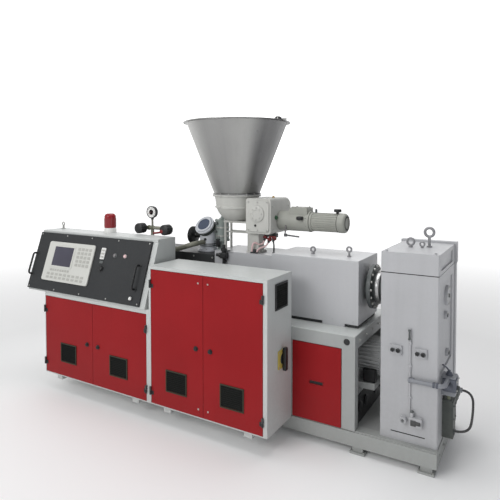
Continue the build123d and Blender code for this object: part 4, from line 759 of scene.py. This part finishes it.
oil = Piece("oil_fittings", "valve_blue")
pipe_y, pipe_z = 355, 538
oil.use("pipe_blue").lathe((1738, pipe_y, pipe_z), LEFT, [(13, 0), (15, 1), (15, 10), (11, 13), (0, 13)], 20)
oil.use("valve_blue").lathe(((1866, 1884), pipe_y, pipe_z), RIGHT,
    [(13.2, 0), (17, 0), (18, 2), (18, 10), (17, 12), (13.2, 12)], 6)
oil.block(GX1 + 8, GX1 + 86, 464, 566, 468, 548, 5)
oil.use("zinc").socket_screw((GX1 + 86, (480, 550), (482, 534)), RIGHT, 5.5)
oil.use("valve_blue").turned((GX1 + 40, 515, 548), UP, 8, (22, 0), (22, 12), (16, 16), (16, 26), (8, 28), (8, 38),
    (0, 38))
oil.tube([(GX1 + 40, 515, 580), (GX1 + 26, 500, 604), (GX1 + 6, 484, 622)], 5, 10)
oil.turned((GX1 + 46, 464, 506), FRONT, 8, (20, 0), (20, 10), (14, 14), (14, 24), (0, 24))
oil.use("coupling_dark").turned((GX1 + 84, 515, 478), RIGHT, 6, (21, 0), (22, 3), (22, 13), (15, 16), (15, 24),
    (17, 26), (12, 30))
oil.turned((GX1 + 62, 540, 468), DOWN, 6, (17, 0), (18, 2), (18, 16), (12, 20), (12, 34), (0, 34))
oil.use("olive").turned((GX1 + 40, 500, 446), DOWN, 12, (14, 0), (14, 14), (10, 18), (10, 30), (0, 30))
oil.use("pump_green").lathe((GX1 + 34, (624, 700, 776), 350), BACK, [(32.2, 0), (34, 1), (34, 9), (32.2, 10)], 40)
oil.turned((GX1 + 34, 808, 350), BACK, 32, (30, 0), (30, 4), (24, 10), (0, 10))
oil.use("coupling_dark").socket_screw((GX1 + 64, (536, 590), (190, 280, 360)), RIGHT, 5.5)
oil.turned((GX1 + 64, 545, 205), RIGHT, 6, (16, 0), (16, 4), (12, 6), (0, 6))
oil.use("pump_green").block(GX1 + 2, GX1 + 56, 514, 612, 385, 402, 4)
for y in (620, 660, 700, 740):
    oil.block(GX1 + 40, GX1 + 46, y, y + 12, 176, 300, 2)
oil.done()

# ---- drive cover and coupling ----

cover = Piece("drive_cover_seams", "cover_grey")
head = (6, 0), (5.2, 2.4), (0, 3)
for y, way in ((490, FRONT), (906, BACK)):
    cover.turned(((770, 910, 1050, 1190, 1335), y, 792), way, 16, *head)
cover.turned((1372, (508, 888), (800, 900, 1000, 1100, 1165)), RIGHT, 16, *head).done()

SCREW_Z = 1000
joint = Piece("coupling_bolts", "zinc")
for angle, a, b in around(16, 1, 0):
    joint.bolt((1428, MID_Y + 136 * a, SCREW_Z + 136 * b), RIGHT, 14, angle)
    joint.bolt((1525, MID_Y + 156 * a, SCREW_Z + 156 * b), LEFT, 13, angle)
joint.use("bare_steel").lathe((1446, MID_Y, SCREW_Z), RIGHT,
    [(95, 0), (112, 0), (114, 3), (114, 27), (112, 30), (95, 30)], 64)
joint.use("zinc")
for angle, a, b in around(8, 1):
    joint.socket_screw((1461, MID_Y + 113 * a, SCREW_Z + 113 * b), (0, a, b), 5)
joint.done()

# ---- vent, filter, separator and vacuum pipes ----

TILT = radians(51)
WAY = Vector((0, -sin(TILT), cos(TILT)))
PORT = Vector((24, MID_Y, 1308))
side_v = WAY.cross(Vector(RIGHT))
vent = Piece("vent_bolts", "zinc")
for angle, a, b in around(8, 1):
    vent.use("white_metal").bolt(PORT + WAY * 74 + Vector(RIGHT) * 75.5 * a + side_v * 75.5 * b, WAY, 8, angle)
    vent.use("zinc").bolt((24 + 79 * a, MID_Y + 79 * b, 1154), UP, 10, angle)
vent.use("white_metal").lathe(PORT + WAY * 74, WAY, [(53, 8.2), (53, 10), (55, 12), (66, 12), (69, 9), (69, 0),
    (64.4, 0), (64.4, 8.2), (53, 8.2)], 56)
vent.use("pump_green").lathe(PORT + WAY * 24, WAY, [(64, 0), (77, 0), (80, 3), (80, 32), (78, 35), (64, 35)], 56)
vent.use("dark_metal").lathe((40, MID_Y - 68, 1238), FRONT, [(0, -6), (11, -6), (11, 4), (8, 7), (0, 7)], 20)
vent.use("coupling_dark").lathe((24, MID_Y, (1180, 1196)), UP, [(70, 0), (74, 0), (74, 7), (70, 7)], 48).done()

glass = Piece("sight_glass_detail", "glass")
glass.turned(PORT + WAY * 74, WAY, 56, (64, 0), (64, 5), (60, 7.4), (30, 8), (0, 8))
glass.done("vent_sight_glass")

filters = Piece("filter_ribs", "black_plastic")
filters.lathe(((-141, -134, -127, -120), MID_Y, 1258), RIGHT, [(69, 0), (72, 0.6), (72, 3.4), (69, 4)], 48)
filters.turned((-140, MID_Y, 1258), LEFT, 48, (66, 0), (64, 4), (30, 5), (28, 9), (0, 9))
filters.turned((-116, MID_Y, 1258), RIGHT, 48, (66, 0), (62, 6), (34, 12), (22, 14), (20.5, 22))
filters.done()

sep = Piece("separator_clamps", "zinc")
sx, sy = 147, 720
sep.lathe((sx, sy, (1262, 1330)), UP, [(56, 0), (59.5, 0), (59.5, 12), (56, 12)], 48)
for z in (1262, 1330):
    sep.block(sx - 12, sx + 12, sy - 68, sy - 56, z, z + 12, 1.5)
sep.bolt((sx, sy - 68, (1268, 1336)), FRONT, 8)
for angle, a, b in around(6, 48):
    sep.bolt((sx + a, sy + b, 1400), UP, 8, angle)
sep.use("vessel_green").turned((sx, sy, 1400), UP, 32, (30, 0), (27, 8), (16, 12), (14, 24), (0, 24))
sep.use("coupling_dark")
for x, z, size in ((sx - 14, 1372, 13), (sx - 24, 1306, 11)):
    sep.turned((x, sy - 50, z), FRONT, 12, (size * 0.6, 0), (size * 0.6, 9), (size, 11), (size, 21), (size * 0.7, 24),
        (0, 24))
sep.use("black_plastic").block(sx - 16, sx + 14, sy - 74, sy - 50, 1180, 1248, 5)
sep.done()

PIPE_X, PIPE_Y, CROSS_Z = -354, 440, 1329
wheels = Piece("handwheel_detail", "black_plastic")
x, back = PIPE_X + 70 + 267 / 2, PIPE_Y - 32
pair = (x - 267, x)
wheels.turned((pair, tuple(back - 2 - 17.4 * i for i in range(4)), CROSS_Z), FRONT, 44, (36, 0), (40.5, 3), (40.5, 13),
    (36, 16.4), (0, 16.4))
for wheel_x, (angle, a, b) in product(pair, around(14, 38.5, 0)):
    wheels.tube([(wheel_x + a, back - 4, CROSS_Z + b), (wheel_x + a, back - 68, CROSS_Z + b)], 3.2, 8)
wheels.turned((pair, back - 69, CROSS_Z), FRONT, 28, (20, 0), (18, 2), (0, 3))
wheels.use("pipe_olive").turned((pair, PIPE_Y - 12, CROSS_Z), FRONT, 8, (13, 0), (13, 20), (0, 20))
lever = [(x - 30, back - 50, CROSS_Z - 18), (x - 74, back - 44, CROSS_Z - 26), (x - 128, back - 40, CROSS_Z - 34)]
wheels.use("dark_red").tube(curve_through(lever), 8, 14)
wheels.turned((x - 22, back - 71, CROSS_Z - 12), FRONT, 24, (15, 0), (12, 2.4), (0, 2.4))
wheels.done("valve_handwheels")

gauge = Piece("gauge_detail", "dark_metal")
GAUGE_Z = 1457
gauge.turned((PIPE_X, PIPE_Y + 17, GAUGE_Z), FRONT, 56, (40, 0), (47, 3), (48, 8), (48, 26), (50, 28), (50, 33),
    (46, 34), (43, 31), (0, 31))
gauge.lathe((PIPE_X, PIPE_Y, GAUGE_Z - 62), UP, [(0, 2), (11, 2), (12, 4), (12, 14), (9, 18), (0, 18)], 6)
gauge.use("gauge_white").turned((PIPE_X, PIPE_Y - 14, GAUGE_Z), FRONT, 56, (43, 0), (43, 1), (0, 1))


def mark(degrees, back, near, far, near_wide, far_wide, thick):
    """A flat mark on the gauge's face, along a line out from its centre."""
    angle = radians(degrees)
    a, b = Vector((cos(angle), 0, sin(angle))), Vector((-sin(angle), 0, cos(angle)))
    centre = Vector((PIPE_X, PIPE_Y - back, GAUGE_Z))
    gauge.bar([centre + a * near - b * near_wide, centre + a * far - b * far_wide, centre + a * far + b * far_wide,
        centre + a * near + b * near_wide], (0, -thick, 0))


gauge.use("black_plastic")
for i in range(11):
    wide = 1.0 if i % 5 else 1.9
    mark(225 - 27 * i, 15.2, 31, 39, wide, wide, 0.7)
gauge.use("dark_red")
mark(200, 16.2, -10, 33, 2, 0.6, 0.8)
gauge.use("dark_steel").turned((PIPE_X, PIPE_Y - 15, GAUGE_Z), FRONT, 20, (4, 0), (3.4, 3), (0, 3.2))
gauge.done("pressure_gauge")

pipes = Piece("vacuum_fittings", "olive")
pipes.lathe((PIPE_X, PIPE_Y, (760, 1120, 1185)), UP, [(20.2, 0), (25, 0), (26, 2), (26, 14), (25, 16), (20.2, 16)], 8)
pipes.lathe(((-400, -364, -210), PIPE_Y, CROSS_Z), RIGHT,
    [(14.2, 0), (19, 0), (20, 2), (20, 18), (19, 20), (14.2, 20)], 8)
pipes.turned((PIPE_X, PIPE_Y, CROSS_Z - 14), UP, 8, (18, 0), (19, 2), (19, 26), (18, 28), (0, 28))
pipes.done()

valve = Piece("drain_valve", "black_plastic")
vx, vy = 306, 504
valve.turned((vx, vy, 1078), UP, 24, (12, 0), (12, 46), (24, 50), (24, 66), (17, 70), (17, 100), (24, 104), (24, 120),
    (13, 124), (13, 150), (0, 150))
valve.block(vx - 28, vx + 28, vy - 20, vy + 24, 1122, 1168, 6)
valve.tube([(vx, vy, 1098), (vx, 530, 1098)], 12, 16)
valve.tube([(vx + 20, vy - 6, 1184), (vx + 62, vy - 10, 1188)], 5, 12)
valve.turned((vx - 28, vy, 1146), LEFT, 16, (16, 0), (18, 3), (18, 14), (12, 16), (12, 40), (0, 40))
valve.done()

# ---- hopper and bowl ----

rim_z, rim_r, neck_z, neck_r = 2172, 398, 1604, 176
trim = Piece("hopper_trim", "stainless")
trim.torus((HOPPER_X, MID_Y, rim_z - 1), UP, rim_r + 21, 3, 96, 10)
for angle in (radians(200), radians(20)):
    line = []
    for t in (i / 12 for i in range(13)):
        r = neck_r + (rim_r - neck_r) * t + 0.5
        line.append((HOPPER_X + r * cos(angle), MID_Y + r * sin(angle), neck_z + (rim_z - neck_z) * t))
    trim.tube(line, 1.7, 8)
trim.done()

ring = Piece("hopper_flange_bolts", "zinc")
for angle, a, b in around(16, 184):
    ring.bolt((HOPPER_X + a, MID_Y + b, neck_z + 8), UP, 9, angle)
    ring.hexagon((HOPPER_X + a, MID_Y + b, neck_z - 8), DOWN, 9, 6, angle)
ring.done()

latch = Piece("hopper_latch_detail", "black_plastic")
x, z = HOPPER_X + rim_r - 4, rim_z
latch.prism([(x - 50, z), (x - 2, z), (x, z + 4), (x - 4, z + 24), (x - 14, z + 30), (x - 40, z + 30),
    (x - 50, z + 18)], 684, 712, "y", 2)
latch.use("zinc").block(x - 10, x + 42, 690, 706, z + 0.5, z + 7, 2)
latch.use("black_plastic").prism([(x + 6, z + 7), (x + 44, z + 7), (x + 44, z + 11), (x + 20, z + 13),
    (x + 6, z + 13)], 689, 707, "y", 1)
latch.use("zinc").turned((x - 24, 684, z + 16), FRONT, 16, (6, 0), (5, 2), (0, 2.6))
latch.done("hopper_latch")

bowl = Piece("bowl_bands", "feeder_grey")
bowl.lathe((HOPPER_X, MID_Y, 0), UP, [(161, 1498), (168, 1500), (169, 1503), (169, 1516), (168, 1519), (164, 1520)], 72)
bowl.use("zinc")
for angle, a, b in around(10, 1, 0):
    bowl.socket_screw((HOPPER_X + 169 * a, MID_Y + 169 * b, 1510), (a, b, 0), 4.5)
bowl.done()

# ---- feeder gearbox, reducer and motor ----

FX0, FX1, FY0, FY1, FZ0, FZ1 = 484, 695, 535, 862, 1325, 1588
feed = Piece("feeder_cover", "feeder_grey")
cx, cz = (FX0 + FX1) / 2 - 8, 1474
feed.prism(rounded_rectangle(FX0 + 12, FX1 - 12, FZ0 + 14, FZ1 - 14, 26), FY0 - 9, FY0 + 1, "y", 3)
feed.turned((cx, FY0 - 9, cz), FRONT, 56, (62, 0), (63, 2), (63, 6), (58, 9), (30, 9), (28, 6), (0, 6))
feed.use("zinc")
for angle, a, b in around(8, 45, 0):
    feed.bolt((cx + a, FY0 - 18, cz + b), FRONT, 8, angle)
feed.socket_screw(((FX0 + 28, cx + 8, FX1 - 28), FY0 - 9, (FZ0 + 28, FZ1 - 28)), FRONT, 5.5)
feed.use("black_plastic").turned((cx - 10, FY0 - 9, FZ0 + 62), FRONT, 20, (9, 0), (9, 4), (7, 6), (0, 6))
feed.use("green").turned((FX1, FY0 + 78, FZ0 + 120), RIGHT, 6, (17, 0), (17, 8), (12, 12), (0, 12))
feed.use("zinc").socket_screw((FX1, (FY0 + 30, FY1 - 40), (FZ0 + 34, FZ1 - 60)), RIGHT, 6)
feed.use("brass").turned((cx + 48, 700, FZ1), UP, 6, (12, 0), (12, 6), (7, 9), (7, 14), (0, 14))
feed.done()

low, high = box_mm("feeder_motor")
motor = Piece("feeder_motor_detail", "motor_paint")
mx0, mx1, mzc, cowl = low.x, high.x, (low.z + high.z) / 2, 58
motor.ribs(26, mx0 + 20, mx1 - cowl, mzc, (62, 1.8), (67.5, 1.1))
length = mx1 - mx0
curve = [(50 + 20 * cos(radians(t)), length - 20 + 20 * sin(radians(t))) for t in range(15, 91, 15)]
motor.turned((mx0, MID_Y, mzc), RIGHT, 72, (70, 0), (70, 16), (66, 18), (64, 18), (64, length - cowl),
    (66, length - cowl), (70, length - cowl + 4), (70, length - 20), *curve, (40, length), (38, length - 4),
    (0, length - 4))
motor.use("gasket_and_painted_shade").lathe((mx1 - cowl, MID_Y, mzc), RIGHT, [(66, -2), (68, -2), (68, 1), (66, 1), (66, -2)], 72)
motor.lathe((mx1, MID_Y, mzc), RIGHT, [(41, -1), (52, -1), (52, 0.8), (41, 0.8), (41, -1)], 64)
motor.use("black_plastic").turned((mx1 - 71, MID_Y, mzc + 62), UP, 32, (11, 0), (11, 14), (25, 16), (27, 20), (27, 32),
    (24, 36), (0, 37))
motor.use("coupling_dark").turned((mx0 + 33, MID_Y, mzc + 60), UP, 16, (8, 0), (8, 30), (5, 34), (0, 34))
motor.done("feeder_motor")

low, high = box_mm("feeder_reducer")
REDUCER_Z = 1420
reducer = Piece("reducer_bolts", "motor_paint")
reducer.lathe((high.x - 16, MID_Y, REDUCER_Z), RIGHT, [(73, 0), (76, 1), (76, 15), (74, 16), (60, 16)], 56)
reducer.use("coupling_dark")
for angle, a, b in around(8, 69):
    reducer.hexagon((high.x - 18, MID_Y + a, REDUCER_Z + b), LEFT, 10, 7, angle)
reducer.use("motor_paint").prism(rounded_rectangle(801, 925, 650, 746, 10), high.z - 1, high.z + 5, "z", 1.5)
reducer.socket_screw(((812, 914), (660, 736), high.z + 5), UP, 4.5)
reducer.use("black_plastic").turned((889, 616, 1436), UP, 24, (20, 0), (25, 4), (25, 20), (20, 25), (0, 26))
reducer.use("motor_paint").block(876, 902, 612, 650, 1424, 1437, 3)
reducer.use("lamp_grey").tube(curve_through([(778, 640, 1418), (770, 632, 1390), (768, 630, 1350), (762, 630, 1322)],
    5), 5, 12)
reducer.use("dark_steel").tube([(756, 634, 1319), (880, 626, 1312)], 6, 12)
reducer.lathe((768, 632, 1319), UP, [(0, -12), (13, -12), (13, 6), (8, 10), (0, 10)], 8)
reducer.done()

low, high = box_mm("feed_chute")
chute = Piece("chute_bolts", "zinc")
chute.bolt(((low.x + 8, high.x - 8), (low.y + 8, (low.y + high.y) / 2, high.y - 8), low.z + 12), UP, 8)
chute.use("feeder_grey").block(low.x + 8, high.x - 8, low.y + 8, high.y - 8, 1311, FZ0, 2).done()

water = Piece("feeder_water_fittings", "dark_red")
water.use("dark_metal").block(596, 700, 612, 650, 1296, 1326, 4)
for x, y, z in ((606, 604, 1292), (642, 602, 1278), (680, 604, 1288)):
    water.use("dark_red").lathe((x, y + 12, z), FRONT, [(0, -14), (15, -14), (17, -8), (17, 6), (13, 12), (0, 12)], 10)
    water.use("dark_metal").lathe((x, y, z - 10), DOWN, [(0, -6), (10, -6), (10, 10), (7, 14), (0, 14)], 6)
water.use("dark_red").block(648, 706, 588, 600, 1296, 1308, 3)
for finish, radius, sides, line in (("lamp_pink", 7, 14, [(606, 604, 1272), (592, 598, 1246), (566, 588, 1240),
        (544, 572, 1252), (528, 560, 1236), (524, 556, 1176)]), ("lamp_pink", 7, 14, [(642, 602, 1262),
        (622, 590, 1232), (590, 572, 1216), (572, 560, 1200), (566, 556, 1176)]),
        ("dark_metal", 6, 12, [(680, 604, 1272), (684, 606, 1240), (682, 610, 1210), (680, 612, 1176)])):
    water.use(finish).tube(curve_through(line), radius, sides)
for x, y in ((524, 556), (566, 556), (680, 612)):
    water.lathe((x, y, 1175), UP, [(0, -0.5), (12, -0.5), (12, 8), (9, 11), (7, 11)], 6)
water.block(534, 556, 546, 566, 1175, 1206, 4)
water.done()

# ---- barrel end and guard ----

flange = Piece("discharge_bolts", "zinc")
guard = Piece("guard_screws", "zinc")
for y, way in ((528, FRONT), (868, BACK)):
    guard.turned(((-600, -400, -200, 0, 180), y, (780, 1115)), way, 16, (7, 0), (6, 2.4), (0, 3))
guard.done()
for angle, a, b in around(8, 60):
    flange.bolt((-720, MID_Y + a, SCREW_Z + b), LEFT, 10, angle)
flange.done()

# ---- floor and light ----

floor_mesh = bpy.data.meshes.new("floor")
rings = bmesh.new()
bmesh.ops.create_circle(rings, cap_ends=True, radius=40.0, segments=96)
rings.to_mesh(floor_mesh)
rings.free()
floor = new_object("floor", floor_mesh)
pale = bpy.data.materials.new("pale_floor")
pale.use_nodes = True
tree = pale.node_tree
tree.nodes.clear()
spot = node(tree, "ShaderNodeTexCoord", {}).outputs["Object"]
far = node(tree, "ShaderNodeVectorMath", {0: spot}, operation="LENGTH").outputs["Value"]
tone = mixed(tree, ranged(tree, far, 2.5, 9.0), (0.93, 0.93, 0.93, 1.0), (0.99, 0.99, 0.99, 1.0))
shader = node(tree, "ShaderNodeBsdfPrincipled", {"Base Color": tone, "Roughness": 0.7,
    "Emission Color": (1.0, 1.0, 1.0, 1.0), "Emission Strength": ranged(tree, far, 3.0, 9.0, 0.03, 0.65)})
node(tree, "ShaderNodeOutputMaterial", {"Surface": shader.outputs[0]})
floor_mesh.materials.append(pale)

world = bpy.data.worlds.new("studio")
world.use_nodes = True
tree = world.node_tree
backdrop = tree.nodes["Background"]
spot = node(tree, "ShaderNodeTexCoord", {}).outputs["Generated"]
way = node(tree, "ShaderNodeSeparateXYZ", {"Vector": spot})
room = mixed(tree, ranged(tree, way.outputs["X"], -0.05, 0.7), (0.5, 0.5, 0.5, 1.0), (0.12, 0.125, 0.14, 1.0))
wall = node(tree, "ShaderNodeVectorMath", {0: spot, 1: (-0.511, 0.859, 0.0)}, operation="DOT_PRODUCT")
wide = maths(tree, "MULTIPLY", ranged(tree, wall.outputs["Value"], 0.6, 0.72),
    ranged(tree, way.outputs["Z"], 0.42, 0.6, 1.0, 0.0))
tree.links.new(mixed(tree, wide, room, (1.5, 1.5, 1.5, 1.0)), backdrop.inputs["Color"])
backdrop.inputs["Strength"].default_value = 1.0
bpy.context.scene.world = world


def area_light(name, spot, target, size, power, colour=(1.0, 1.0, 1.0)):
    light = bpy.data.lights.new(name, "AREA")
    light.shape = "RECTANGLE"
    light.size, light.size_y = size
    light.energy = power
    light.color = colour
    lamp = new_object(name, light)
    lamp.location = place(*spot)
    lamp.rotation_euler = (place(*target) - place(*spot)).to_track_quat("-Z", "Y").to_euler()


area_light("key", (-900, -5200, 4000), (300, 500, 900), (3.0, 2.4), 138)
area_light("top", (600, 500, 4800), (400, 600, 1000), (4.0, 2.5), 90)
area_light("fill", (4600, -1800, 2200), (1000, 500, 900), (2.0, 3.0), 12, (0.93, 0.95, 1.0))
